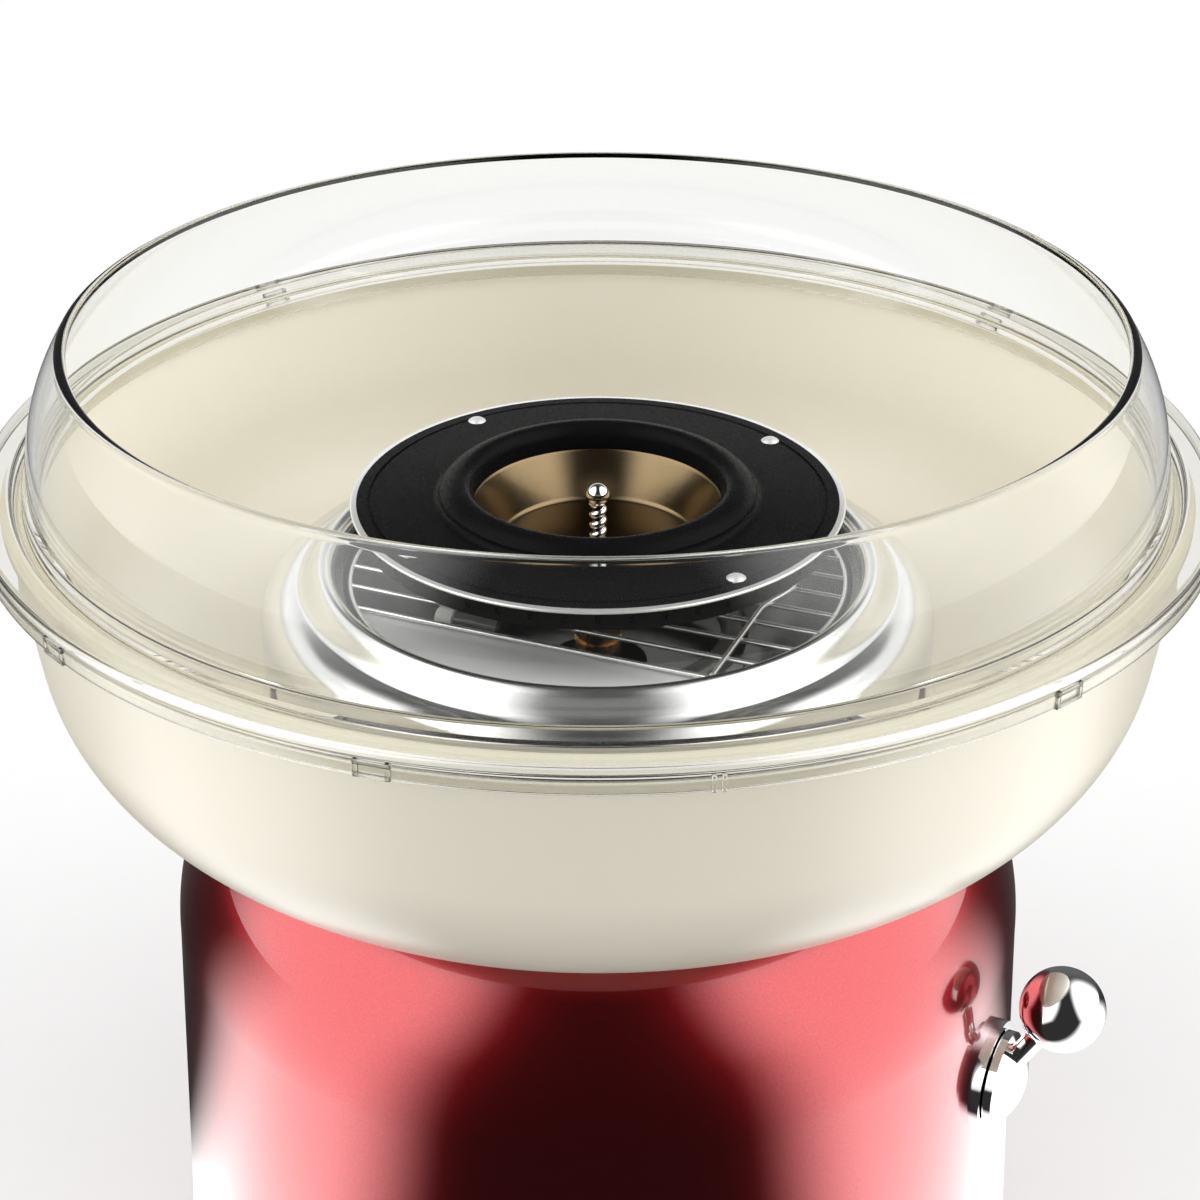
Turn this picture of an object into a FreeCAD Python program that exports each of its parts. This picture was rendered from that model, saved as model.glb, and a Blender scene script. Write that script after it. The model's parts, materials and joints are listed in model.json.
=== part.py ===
"""Table-top electric cotton candy machine: every piece as its own solid, one STEP file per node.

Frame: millimetres, +Z up, origin on the table under the middle of the base. The spindle runs
along Z, the cord gland is at the back (+Y) and the on/off lever is on the right, towards the front.
"""
import FreeCAD, Part
import math
import os

from FreeCAD import Vector

# ---------------------------------------------------------------- driving dimensions (mm, degrees)
SEAT_GAP = 0.3             # air between pieces of different bodies that rest on each other
RUN_FIT = 0.05             # radial air in a bearing, a bush or on a sliding shaft
SCREW_FIT = 0.05           # radial air round a fastener that is drawn tight

# feet and bottom cover
FOOT_HEIGHT = 8.0
FOOT_RADIUS = 15.0
FOOT_STEM_RADIUS = 5.0
FOOT_CIRCLE_RADIUS = 84.0
FOOT_COUNT = 4
FOOT_PLUG_HEIGHT = 4.0
FOOT_LIP = 1.2
FOOT_WALL = 2.2
COVER_THICKNESS = 3.0
COVER_EDGE_GAP = 0.2
VENT_COUNT = 18
VENT_WIDTH = 4.0
VENT_INNER_RADIUS = 28.0
VENT_OUTER_RADIUS = 60.0
BOTTOM_SCREW_COUNT = 4
BOTTOM_SCREW_AZIMUTH = 15.0
SCREW_RADIUS = 1.5
SCREW_HEAD_RADIUS = 3.0
SCREW_HEAD_HEIGHT = 2.0
BOSS_RADIUS = 4.5
BOSS_LENGTH = 24.0

# drum-shaped housing
HOUSING_WALL = 2.5
HOUSING_FOOT_RADIUS = 109.5
HOUSING_WAIST_RADIUS = 105.6
HOUSING_STRAIGHT_HEIGHT = 91.0
SHOULDER_RISE = 40.5
DECK_EDGE_RADIUS = 88.1
DECK_THICKNESS = 3.0
DECK_HOLE_RADIUS = 12.0
HOUSING_EDGE_ROUND = 2.0

# bowl
BOWL_WALL = 2.6
BOWL_COLLAR_WALL = 2.6
BOWL_UPSTAND = 3.5
BOWL_ARC_RADIUS = 43.0
BOWL_FLOOR_LIFT = 8.5
BOWL_ARC_CENTRE_RADIUS = 88.0
BOWL_RIM_HEIGHT = 78.7     # deck to the top of the rim
BOWL_RIM_THICKNESS = 2.5
BOWL_RIM_RADIUS = 138.7
BOWL_NECK_RADIUS = 134.6   # outside of the wall just under the rim

# clear rim guard
GUARD_WALL = 2.2
GUARD_TOP_RADIUS = 120.0
GUARD_HEIGHT = 35.5        # rim flange underside to the top edge
GUARD_BULGE_RADIUS = 50.7
GUARD_LEDGE_WIDTH = 9.38     # bowl rim's edge to the foot of the wall
GUARD_BEAD_WIDTH = 2.4
GUARD_BEAD_HEIGHT = 2.0
GUARD_STEP = 1.1
GUARD_STEP_HEIGHT = 4.2
GUARD_FLANGE_THICKNESS = 2.0
GUARD_SPIGOT_DEPTH = 3.0
GUARD_RIM_FIT = 0.4
GUARD_SKIRT_WALL = 1.9
GUARD_SKIRT_DROP = 1.8
GUARD_BEAD_GROOVE = 2.2
GUARD_SHOULDER_RISE = 1.9
GUARD_CLIP_COUNT = 4
GUARD_CLIP_AZIMUTH = -50.0
GUARD_CLIP_WIDTH = 7.5
GUARD_CLIP_PROUD = 0.5
GUARD_CLIP_FRAME = 1.1
GUARD_WINDOW_AZIMUTH = -107.0
GUARD_RIB_AZIMUTH = -81.0
GUARD_RIB_WIDTH = 0.9
GUARD_RIB_PITCH = 1.9

# polished reflector round the heater
SHEET = 1.0
REFLECTOR_RADIUS = 80.5
REFLECTOR_FOOT_FLANGE = 1.1
REFLECTOR_SKIRT_HEIGHT = 40.5
REFLECTOR_SHOULDER_ROUND = 9.0
REFLECTOR_LIP_RADIUS = 65.3
REFLECTOR_LIP_ROUND = 2.9
REFLECTOR_LIP_HEIGHT = 55.3
REFLECTOR_EAR_COUNT = 3
REFLECTOR_EAR_RADIUS = 5.0

# burner pan, heater and wire grille
PAN_FLANGE_DROP = 4.4
PAN_FLANGE_WIDTH = 1.8
PAN_DEPTH = 26.0
PAN_FLOOR_RADIUS = 39.0
PAN_HOLE_RADIUS = 12.0
PAN_POST_COUNT = 3
PAN_POST_RADIUS = 4.0
PAN_POST_CIRCLE = 22.0
PAN_POST_SCREW_RADIUS = 1.6
HEATER_RADIUS = 33.0
HEATER_TUBE_RADIUS = 3.3
HEATER_LIFT = 5.5
HEATER_GAP_ANGLE = 24.0
HEATER_SUPPORT_COUNT = 3
HEATER_SUPPORT_WIDTH = 6.0
TERMINAL_RADIUS = 2.0
TERMINAL_LENGTH = 32.0
FUSE_LENGTH = 17.0
FUSE_RADIUS = 2.6
FUSE_ALONG = -12.0
GRILLE_WIRE_RADIUS = 0.8
GRILLE_SEAT_GAP = 0.15
GRILLE_SPACING = 9.35
GRILLE_HALF_COUNT = 4
GRILLE_AZIMUTH = -22.0
GRILLE_CROSS_OFFSET = 42.2
GRILLE_KINK = 3.6
GRILLE_HOOK = 2.6
GRILLE_EYE_RADIUS = 27.0

# spindle and motor
SHAFT_RADIUS = 3.0
SHAFT_TOP_INSET = 2.0
COLLAR_RADIUS = 5.7
COLLAR_HEIGHT = 11.5
COLLAR_LIFT = 1.5
DRIVE_PIN_RADIUS = 1.0
DRIVE_PIN_LENGTH = 8.4
MOTOR_RADIUS = 26.0
MOTOR_HEIGHT = 50.0
MOTOR_WALL = 1.5
MOTOR_DROP = 11.0          # deck underside to the top of the motor
MOTOR_BUSH_RADIUS = 6.0
MOTOR_BUSH_HEIGHT = 5.0
MOTOR_CAP_HEIGHT = 9.0
BRACKET_THICKNESS = 2.0
BRACKET_RADIUS = 40.0
BRACKET_HOLE_CIRCLE = 34.0
BRACKET_HOLE_COUNT = 3
GROMMET_RADIUS = 5.0
ARMATURE_RADIUS = 18.0
CORE_LIFT = 10.0
MAGNET_GAP = 14.0
ARMATURE_HEIGHT = 26.0
COMMUTATOR_RADIUS = 8.0
COMMUTATOR_HEIGHT = 6.0
FAN_RADIUS = 32.0
FAN_HEIGHT = 9.0
FAN_HUB_RADIUS = 7.0
FAN_BLADE_COUNT = 9
FAN_BLADE_WALL = 1.2
FAN_GAP = 4.0

# extractor head
HEAD_RISE = 70.0           # deck to the top face of the head
HEAD_RADIUS = 58.2
HEAD_RIM_WIDTH = 1.8
HEAD_RIM_PROUD = 0.5
HEAD_PLATE = 1.4
HEAD_GROOVE_INSET = 2.6
HEAD_GROOVE_WIDTH = 0.8
HEAD_GROOVE_DEPTH = 0.4
HEAD_MOUTH_RADIUS = 29.0
HEAD_RING_WIDTH = 9.0
HEAD_RING_RISE = 4.4
HEAD_SLOT_HEIGHT = 3.0
HEAD_BAND_WALL = 0.6
HEAD_BAND_SLOTS = 48
HEAD_BAND_SLOT_WIDTH = 1.2
HEAD_PAN_DEPTH = 10.5
HEAD_PAN_FLOOR_RADIUS = 25.0
HEAD_CUP_FLOOR_RADIUS = 24.0
CUP_MOUTH_STEP = 0.6
CUP_FLANGE_SEAT = 1.0
CUP_PORT_COUNT = 16
CUP_PORT_WIDTH = 3.0
CUP_PORT_HEIGHT = 2.4
HEAD_HUB_RADIUS = 5.4
HEAD_RIVET_CIRCLE = 50.6
HEAD_RIVET_COUNT = 4
HEAD_RIVET_AZIMUTH = 35.6
RIVET_RADIUS = 1.3
RIVET_HEAD_RADIUS = 2.2
RIVET_HEAD_HEIGHT = 1.1
POST_RADIUS = 1.9
POST_DOME_RADIUS = 3.0
POST_RISE = 2.6            # dome top above the head's top face
THREAD_PITCH = 1.25
THREAD_DEPTH = 0.45
POST_NUT_RADIUS = 4.2
POST_NUT_HEIGHT = 3.0

# on/off lever and its rotary switch
LEVER_AZIMUTH = -27.0
LEVER_HEIGHT = 77.0
LEVER_BALL_RADIUS = 10.1
LEVER_BALL_RISE = 25.0     # ball centre above the pivot
LEVER_BALL_REACH = 16.0    # ball centre outside the housing
LEVER_ROD_RADIUS = 2.6
LEVER_HUB_RADIUS = 11.5
LEVER_HUB_HEIGHT = 7.0
LEVER_PLATE_RADIUS = 13.5
LEVER_PLATE_THICKNESS = 1.8
SWITCH_SHAFT_RADIUS = 2.5
SWITCH_BUSH_RADIUS = 5.0
SWITCH_NUT_RADIUS = 8.0
SWITCH_NUT_HEIGHT = 2.5
SWITCH_WIDTH = 26.0
SWITCH_HEIGHT = 24.0
SWITCH_DEPTH = 16.0
SWITCH_WALL = 1.6
SWITCH_TERMINAL_LENGTH = 6.0
SWITCH_TAG_PITCH = 8.0
SWITCH_TAG_WIDTH = 4.0
SWITCH_TAG_THICKNESS = 0.8

# cord gland, terminal block and inner leads
GLAND_HEIGHT = 30.0
GLAND_RADIUS = 6.5
GLAND_FLANGE_RADIUS = 9.0
GLAND_FLANGE = 2.5
GLAND_BORE_RADIUS = 3.6
GLAND_RIDGE = 1.0
GLAND_RIDGE_LENGTH = 1.6
BLOCK_LENGTH = 34.0
BLOCK_DEPTH = 16.0
BLOCK_HEIGHT = 12.0
BLOCK_BACK_GAP = 21.0
BLOCK_WAYS = 3
BLOCK_WELL_RADIUS = 2.4
BLOCK_WELL_DEPTH = 5.0
LEAD_RADIUS = 1.4
LEAD_EXIT = 12.0
LEAD_CIRCLE_RADIUS = 48.0
LEAD_STEP = 11.0

# ---------------------------------------------------------------- places that follow from the sizes
HOUSING_BOTTOM = FOOT_HEIGHT
WAIST_Z = HOUSING_BOTTOM + HOUSING_STRAIGHT_HEIGHT
DECK_Z = WAIST_Z + SHOULDER_RISE
DECK_UNDER = DECK_Z - DECK_THICKNESS
COVER_TOP = HOUSING_BOTTOM + COVER_THICKNESS
COVER_RADIUS = HOUSING_FOOT_RADIUS - HOUSING_WALL - COVER_EDGE_GAP

RIM_TOP = DECK_Z + BOWL_RIM_HEIGHT
FLANGE_UNDER = RIM_TOP + SEAT_GAP
GUARD_TOP = FLANGE_UNDER + GUARD_HEIGHT

LIP_TOP = DECK_Z + REFLECTOR_LIP_HEIGHT
PAN_RIM_Z = LIP_TOP - PAN_FLANGE_DROP
PAN_FLOOR_Z = PAN_RIM_Z - PAN_DEPTH
PAN_RADIUS = REFLECTOR_LIP_RADIUS - REFLECTOR_LIP_ROUND - RUN_FIT
GRILLE_Z = PAN_RIM_Z - SHEET - GRILLE_WIRE_RADIUS

HEAD_TOP = DECK_Z + HEAD_RISE
PLATE_UNDER = HEAD_TOP - HEAD_PLATE
BAND_BOTTOM = PLATE_UNDER - HEAD_SLOT_HEIGHT
HEAD_FLOOR = BAND_BOTTOM - HEAD_PAN_DEPTH
HEAD_INNER_RADIUS = HEAD_RADIUS - HEAD_RIM_WIDTH
CUP_FLOOR = HEAD_FLOOR + 2 * SHEET

COLLAR_BOTTOM = PAN_FLOOR_Z + COLLAR_LIFT
COLLAR_TOP = COLLAR_BOTTOM + COLLAR_HEIGHT
HUB_BOTTOM = COLLAR_TOP + SEAT_GAP
SHAFT_TOP = HEAD_FLOOR - SHAFT_TOP_INSET
DRIVE_PIN_Z = HUB_BOTTOM + 2 * DRIVE_PIN_RADIUS

MOTOR_TOP = DECK_UNDER - MOTOR_DROP
MOTOR_BOTTOM = MOTOR_TOP - MOTOR_HEIGHT
CAP_BOTTOM = MOTOR_BOTTOM - MOTOR_CAP_HEIGHT
FAN_TOP = CAP_BOTTOM - FAN_GAP
FAN_BOTTOM = FAN_TOP - FAN_HEIGHT

Z_AXIS = Vector(0, 0, 1)
X_AXIS = Vector(1, 0, 0)
ORIGIN = Vector(0, 0, 0)


# ---------------------------------------------------------------- helpers
def wire_through(start, steps):
    """Closed wire in the XZ plane; a step is an (r, z) point or a (middle, end) pair for an arc."""
    edges = []
    here = start
    for step in list(steps) + [start]:
        if isinstance(step[0], tuple):
            middle, end = step
            arc = Part.Arc(Vector(here[0], 0, here[1]), Vector(middle[0], 0, middle[1]),
                           Vector(end[0], 0, end[1]))
            edges.append(arc.toShape())
        else:
            end = step
            if math.dist(here, end) < 1e-7:
                continue
            edges.append(Part.LineSegment(Vector(here[0], 0, here[1]),
                                          Vector(end[0], 0, end[1])).toShape())
        here = end
    return Part.Wire(edges)


def turned(start, *steps):
    """Solid of revolution about Z from a closed (r, z) outline."""
    return Part.Face(wire_through(start, steps)).revolve(ORIGIN, Z_AXIS, 360)


def rod(radius, low, high, x=0.0, y=0.0):
    """Upright cylinder between two heights."""
    return Part.makeCylinder(radius, high - low, Vector(x, y, low))


def tube(outer, inner, low, high, x=0.0, y=0.0):
    """Upright hollow cylinder between two heights."""
    return rod(outer, low, high, x, y).cut(rod(inner, low, high, x, y))


def block(size, centre):
    """Box of the given size about a centre."""
    corner = Vector(*[c - s / 2 for c, s in zip(centre, size)])
    return Part.makeBox(size[0], size[1], size[2], corner)


def spun(shape, degrees):
    """Copy of a shape turned about the spindle."""
    copy = shape.copy()
    copy.rotate(ORIGIN, Z_AXIS, degrees)
    return copy


def ring_of(shape, count, first=0.0):
    """Copies of a shape, evenly spaced about the spindle."""
    return [spun(shape, first + 360.0 * i / count) for i in range(count)]


def joined(shapes):
    """One solid from pieces that overlap or touch."""
    return shapes[0].fuse(shapes[1:]).removeSplitter()


def arc_point(centre, radius, degrees):
    """(r, z) point on an arc."""
    angle = math.radians(degrees)
    return (centre[0] + radius * math.cos(angle), centre[1] + radius * math.sin(angle))


def screw(x, y, head_low, head_high, tip, recess=0.4):
    """Cross-recessed screw; its head lies between two heights and its shank reaches the tip."""
    head = rod(SCREW_HEAD_RADIUS, min(head_low, head_high), max(head_low, head_high), x, y)
    shank = rod(SCREW_RADIUS, min(head_high, tip), max(head_high, tip), x, y)
    depth = 0.6 * abs(head_high - head_low)
    face = head_low + math.copysign(depth / 2, head_high - head_low)
    for size in ((3.6, 2 * recess, depth), (2 * recess, 3.6, depth)):
        head = head.cut(block(size, (x, y, face)))
    return joined([head, shank])


def on_circle(radius, degrees):
    angle = math.radians(degrees)
    return radius * math.cos(angle), radius * math.sin(angle)


# ---------------------------------------------------------------- drum-shaped housing and its cover
def shoulder_radius():
    inset = HOUSING_WAIST_RADIUS - DECK_EDGE_RADIUS
    return (SHOULDER_RISE ** 2 + inset ** 2) / (2 * inset)


def wall_radius(z):
    """Outside radius of the tapering part of the housing at a height."""
    share = (z - HOUSING_BOTTOM) / HOUSING_STRAIGHT_HEIGHT
    return HOUSING_FOOT_RADIUS + share * (HOUSING_WAIST_RADIUS - HOUSING_FOOT_RADIUS)


def drum(shrink, bottom, top):
    """Solid drum with the housing's outline, shrunk by a wall."""
    arc = shoulder_radius() - shrink
    centre = (HOUSING_WAIST_RADIUS - shoulder_radius(), WAIST_Z)
    end_angle = math.degrees(math.asin((top - WAIST_Z) / arc))
    end = arc_point(centre, arc, end_angle)
    middle = arc_point(centre, arc, end_angle / 2)
    foot = wall_radius(bottom) - shrink
    waist = HOUSING_WAIST_RADIUS - shrink
    return turned((0, bottom), (foot, bottom), (waist, WAIST_Z), (middle, end), (0, top))


def bottom_screw_places():
    radius = wall_radius(COVER_TOP) - HOUSING_WALL - BOSS_RADIUS
    step = 360.0 / BOTTOM_SCREW_COUNT
    return [on_circle(radius, BOTTOM_SCREW_AZIMUTH + i * step) for i in range(BOTTOM_SCREW_COUNT)]


def pan_post_places():
    step = 360.0 / PAN_POST_COUNT
    return [on_circle(PAN_POST_CIRCLE, 90 + i * step) for i in range(PAN_POST_COUNT)]


def bracket_places():
    step = 360.0 / BRACKET_HOLE_COUNT
    return [on_circle(BRACKET_HOLE_CIRCLE, 30 + i * step) for i in range(BRACKET_HOLE_COUNT)]


def ear_places():
    radius = REFLECTOR_RADIUS - SHEET - REFLECTOR_EAR_RADIUS
    step = 360.0 / REFLECTOR_EAR_COUNT
    return [on_circle(radius, 30 + i * step) for i in range(REFLECTOR_EAR_COUNT)]


def foot_places():
    step = 360.0 / FOOT_COUNT
    return [on_circle(FOOT_CIRCLE_RADIUS, 45 + i * step) for i in range(FOOT_COUNT)]


def clear_of_wall(height, half_height, half_width):
    """Distance from the spindle to a flat face that just clears the inside of the wall."""
    narrow = min(wall_radius(height - half_height), wall_radius(height + half_height))
    return math.sqrt((narrow - HOUSING_WALL) ** 2 - half_width ** 2) - SEAT_GAP


def across_wall(shape):
    """Turn a shape built along +X, as the lever parts are, to the lever's place on the housing."""
    return spun(shape, LEVER_AZIMUTH)


def radial_rod(radius, start, end, y=0.0, z=LEVER_HEIGHT):
    return Part.makeCylinder(radius, end - start, Vector(start, y, z), X_AXIS)


def housing():
    shell = drum(0, HOUSING_BOTTOM, DECK_Z).cut(drum(HOUSING_WALL, HOUSING_BOTTOM, DECK_UNDER))
    rim = max(shell.Edges, key=lambda e: (e.BoundBox.ZMax < HOUSING_BOTTOM + 0.01) * e.Length)
    shell = shell.makeFillet(min(HOUSING_EDGE_ROUND, 0.7 * HOUSING_WALL), [rim])
    inside = drum(0, HOUSING_BOTTOM, DECK_Z)
    parts = [shell]
    for x, y in bottom_screw_places():
        boss = rod(BOSS_RADIUS, COVER_TOP, COVER_TOP + BOSS_LENGTH, x, y)
        length = math.hypot(x, y)
        web_size = (2 * HOUSING_WALL + BOSS_RADIUS, HOUSING_WALL, BOSS_LENGTH)
        web = block(web_size, (length + BOSS_RADIUS, 0, COVER_TOP + BOSS_LENGTH / 2))
        web = spun(web, math.degrees(math.atan2(y, x)))
        parts.append(joined([boss, web]).common(inside))
    for x, y in bracket_places():
        parts.append(rod(GROMMET_RADIUS, motor_seat_top(), DECK_UNDER, x, y))
    shape = joined(parts)
    holes = [rod(DECK_HOLE_RADIUS, DECK_UNDER, DECK_Z)]
    screw_hole = SCREW_RADIUS + SCREW_FIT
    for x, y in bottom_screw_places():
        holes.append(rod(screw_hole, COVER_TOP, COVER_TOP + BOSS_LENGTH - HOUSING_WALL, x, y))
    for x, y in bracket_places():
        holes.append(rod(screw_hole, motor_seat_top(), DECK_UNDER, x, y))
    for x, y in ear_places():
        holes.append(rod(screw_hole, DECK_UNDER, DECK_Z, x, y))
    for x, y in pan_post_places():
        holes.append(rod(PAN_POST_SCREW_RADIUS + SCREW_FIT, DECK_UNDER, DECK_Z, x, y))
    widest = max(HOUSING_FOOT_RADIUS, HOUSING_WAIST_RADIUS)
    holes.append(across_wall(radial_rod(SWITCH_BUSH_RADIUS + SCREW_FIT, switch_inner_face(), widest)))
    holes.append(Part.makeCylinder(GLAND_RADIUS + SCREW_FIT, widest - gland_inner_face(),
                                   Vector(0, gland_inner_face(), GLAND_HEIGHT), Vector(0, 1, 0)))
    for angle in terminal_angles():
        x, y = on_circle(HEATER_RADIUS, angle)
        holes.append(rod(TERMINAL_RADIUS + LEAD_RADIUS, DECK_UNDER, DECK_Z, x, y))
    return shape.cut(Part.makeCompound(holes))


def bottom_cover():
    plate = rod(COVER_RADIUS, HOUSING_BOTTOM, COVER_TOP)
    slot_length = VENT_OUTER_RADIUS - VENT_INNER_RADIUS
    slot = block((slot_length, VENT_WIDTH, COVER_THICKNESS),
                 ((VENT_OUTER_RADIUS + VENT_INNER_RADIUS) / 2, 0, HOUSING_BOTTOM + COVER_THICKNESS / 2))
    ends = [rod(VENT_WIDTH / 2, HOUSING_BOTTOM, COVER_TOP, r, 0)
            for r in (VENT_INNER_RADIUS, VENT_OUTER_RADIUS)]
    slot = joined([slot] + ends)
    cuts = ring_of(slot, VENT_COUNT)
    for x, y in bottom_screw_places():
        cuts.append(rod(SCREW_RADIUS + SCREW_FIT, HOUSING_BOTTOM, COVER_TOP, x, y))
    for x, y in foot_places():
        cuts.append(rod(FOOT_STEM_RADIUS + SCREW_FIT, HOUSING_BOTTOM, COVER_TOP, x, y))
    return plate.cut(Part.makeCompound(cuts))


def bottom_screws():
    tip = COVER_TOP + BOSS_LENGTH - 2 * HOUSING_WALL
    return Part.makeCompound([
        screw(x, y, HOUSING_BOTTOM - SCREW_HEAD_HEIGHT, HOUSING_BOTTOM, tip)
        for x, y in bottom_screw_places()])


def suction_foot(x, y):
    """Rubber suction cup: a hollow skirt, a stem through the cover and a plug that snaps above it."""
    lip = FOOT_LIP
    neck = FOOT_STEM_RADIUS
    shoulder = neck + FOOT_WALL
    belly = (0.5 * (neck + FOOT_RADIUS) + FOOT_WALL, 0.5 * FOOT_HEIGHT)
    hollow = 0.4 * FOOT_HEIGHT
    foot = turned(
        (0, hollow), (neck, hollow), ((0.7 * FOOT_RADIUS, 0.28 * FOOT_HEIGHT), (FOOT_RADIUS - lip, 0)),
        (FOOT_RADIUS, 0), (FOOT_RADIUS, lip), (belly, (shoulder, 0.75 * FOOT_HEIGHT)),
        (shoulder, FOOT_HEIGHT), (neck, FOOT_HEIGHT), (neck, COVER_TOP), (neck + lip, COVER_TOP),
        (neck - lip, COVER_TOP + FOOT_PLUG_HEIGHT), (0, COVER_TOP + FOOT_PLUG_HEIGHT))
    foot.translate(Vector(x, y, 0))
    return foot


# ---------------------------------------------------------------- bowl and clear rim guard
def bowl_tangent(centre, radius, point):
    """Angle at which a straight wall from a point leaves the belly arc."""
    dx, dz = point[0] - centre[0], point[1] - centre[1]
    return math.degrees(math.atan2(dz, dx) - math.acos(radius / math.hypot(dx, dz)))


def bowl():
    base = DECK_Z + SEAT_GAP
    centre = (BOWL_ARC_CENTRE_RADIUS, DECK_Z + BOWL_FLOOR_LIFT + BOWL_ARC_RADIUS)
    outer, inner = BOWL_ARC_RADIUS, BOWL_ARC_RADIUS - BOWL_WALL
    hole = REFLECTOR_RADIUS + REFLECTOR_FOOT_FLANGE + GUARD_RIM_FIT
    collar = hole + BOWL_COLLAR_WALL
    rim_under = RIM_TOP - BOWL_RIM_THICKNESS
    neck = (BOWL_NECK_RADIUS, rim_under)
    mouth = (BOWL_NECK_RADIUS - BOWL_WALL, RIM_TOP)
    out_angle = bowl_tangent(centre, outer, neck)
    in_angle = bowl_tangent(centre, inner, mouth)
    floor_z = centre[1] - inner
    out_middle = arc_point(centre, outer, (out_angle - 90) / 2)
    in_middle = arc_point(centre, inner, (in_angle - 90) / 2)
    edge = BOWL_RIM_THICKNESS / 2
    return turned(
        (hole, base), (collar, base), (collar, centre[1] - outer), (centre[0], centre[1] - outer),
        (out_middle, arc_point(centre, outer, out_angle)), neck, (BOWL_RIM_RADIUS - edge, rim_under),
        ((BOWL_RIM_RADIUS, rim_under + edge), (BOWL_RIM_RADIUS - edge, RIM_TOP)), mouth,
        arc_point(centre, inner, in_angle), (in_middle, (centre[0], floor_z)), (collar, floor_z),
        (collar, floor_z + BOWL_UPSTAND), (hole, floor_z + BOWL_UPSTAND))


def guard_outline():
    """Centre of the guard wall's outer arc, through the wall's foot and its top edge, and the foot."""
    foot = (BOWL_RIM_RADIUS - GUARD_LEDGE_WIDTH,
            FLANGE_UNDER + GUARD_FLANGE_THICKNESS + GUARD_STEP_HEIGHT)
    run, rise = foot[0] - GUARD_TOP_RADIUS, GUARD_TOP - foot[1]
    chord = math.hypot(run, rise)
    depth = math.sqrt(GUARD_BULGE_RADIUS ** 2 - chord ** 2 / 4)
    centre = (foot[0] - run / 2 - depth * rise / chord, foot[1] + rise / 2 - depth * run / chord)
    return centre, foot


def rim_guard():
    centre, (foot, foot_z) = guard_outline()
    outer, inner = GUARD_BULGE_RADIUS, GUARD_BULGE_RADIUS - GUARD_WALL
    flange_top = FLANGE_UNDER + GUARD_FLANGE_THICKNESS
    spigot = BOWL_NECK_RADIUS - BOWL_WALL - GUARD_RIM_FIT
    skirt_in = BOWL_RIM_RADIUS + GUARD_RIM_FIT
    skirt_out = skirt_in + GUARD_SKIRT_WALL
    skirt_low = FLANGE_UNDER - GUARD_SKIRT_DROP
    shoulder_top = flange_top + GUARD_SHOULDER_RISE
    ring = GUARD_SHOULDER_RISE
    bead_in = GUARD_TOP_RADIUS - GUARD_BEAD_WIDTH
    bead_low = GUARD_TOP - GUARD_BEAD_HEIGHT
    half = GUARD_BEAD_WIDTH / 2
    foot_angle = math.degrees(math.asin((foot_z - centre[1]) / outer))
    bead_angle = math.degrees(math.asin((bead_low - centre[1]) / outer))
    wall_in_angle = math.degrees(math.asin((bead_low - 1.0 - centre[1]) / inner))
    out_start = arc_point(centre, outer, bead_angle)
    in_start = arc_point(centre, inner, wall_in_angle)
    in_foot = arc_point(centre, inner, foot_angle)
    step_r = foot + GUARD_STEP
    groove = step_r + GUARD_BEAD_GROOVE
    body = turned(
        (spigot - GUARD_WALL, FLANGE_UNDER - GUARD_SPIGOT_DEPTH),
        (spigot, FLANGE_UNDER - GUARD_SPIGOT_DEPTH), (spigot, FLANGE_UNDER),
        (skirt_in, FLANGE_UNDER), (skirt_in, skirt_low), (skirt_out, skirt_low),
        (skirt_out, shoulder_top - ring),
        ((skirt_out - 0.3 * ring, shoulder_top - 0.3 * ring), (skirt_out - ring, shoulder_top)),
        (groove + ring, shoulder_top),
        ((groove + 0.3 * ring, shoulder_top - 0.3 * ring), (groove, flange_top)),
        (step_r, flange_top), (step_r, foot_z), (foot, foot_z),
        (arc_point(centre, outer, (foot_angle + bead_angle) / 2), out_start),
        ((GUARD_TOP_RADIUS - half, GUARD_TOP), (bead_in, bead_low)), in_start,
        (arc_point(centre, inner, (foot_angle + wall_in_angle) / 2), in_foot),
        (in_foot[0], flange_top), (spigot - GUARD_WALL, FLANGE_UNDER))
    clip_height = flange_top - skirt_low
    proud = GUARD_CLIP_PROUD
    clip_size = (2 * proud, GUARD_CLIP_WIDTH, clip_height)
    clip_place = (skirt_out, 0, skirt_low + clip_height / 2)
    opening = (4 * proud, GUARD_CLIP_WIDTH - 2 * GUARD_CLIP_FRAME, clip_height - 2 * GUARD_CLIP_FRAME)
    clip = block(clip_size, clip_place).cut(block(opening, clip_place))
    rib = block((2 * proud, GUARD_RIB_WIDTH, clip_height), clip_place)
    additions = ring_of(clip, GUARD_CLIP_COUNT, GUARD_CLIP_AZIMUTH)
    additions.append(spun(clip, GUARD_WINDOW_AZIMUTH))
    pitch = math.degrees(GUARD_RIB_PITCH / skirt_out)
    for side in (-1, 1):
        additions.append(spun(rib, GUARD_RIB_AZIMUTH + side * pitch / 2))
    return joined([body] + additions)


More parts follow.
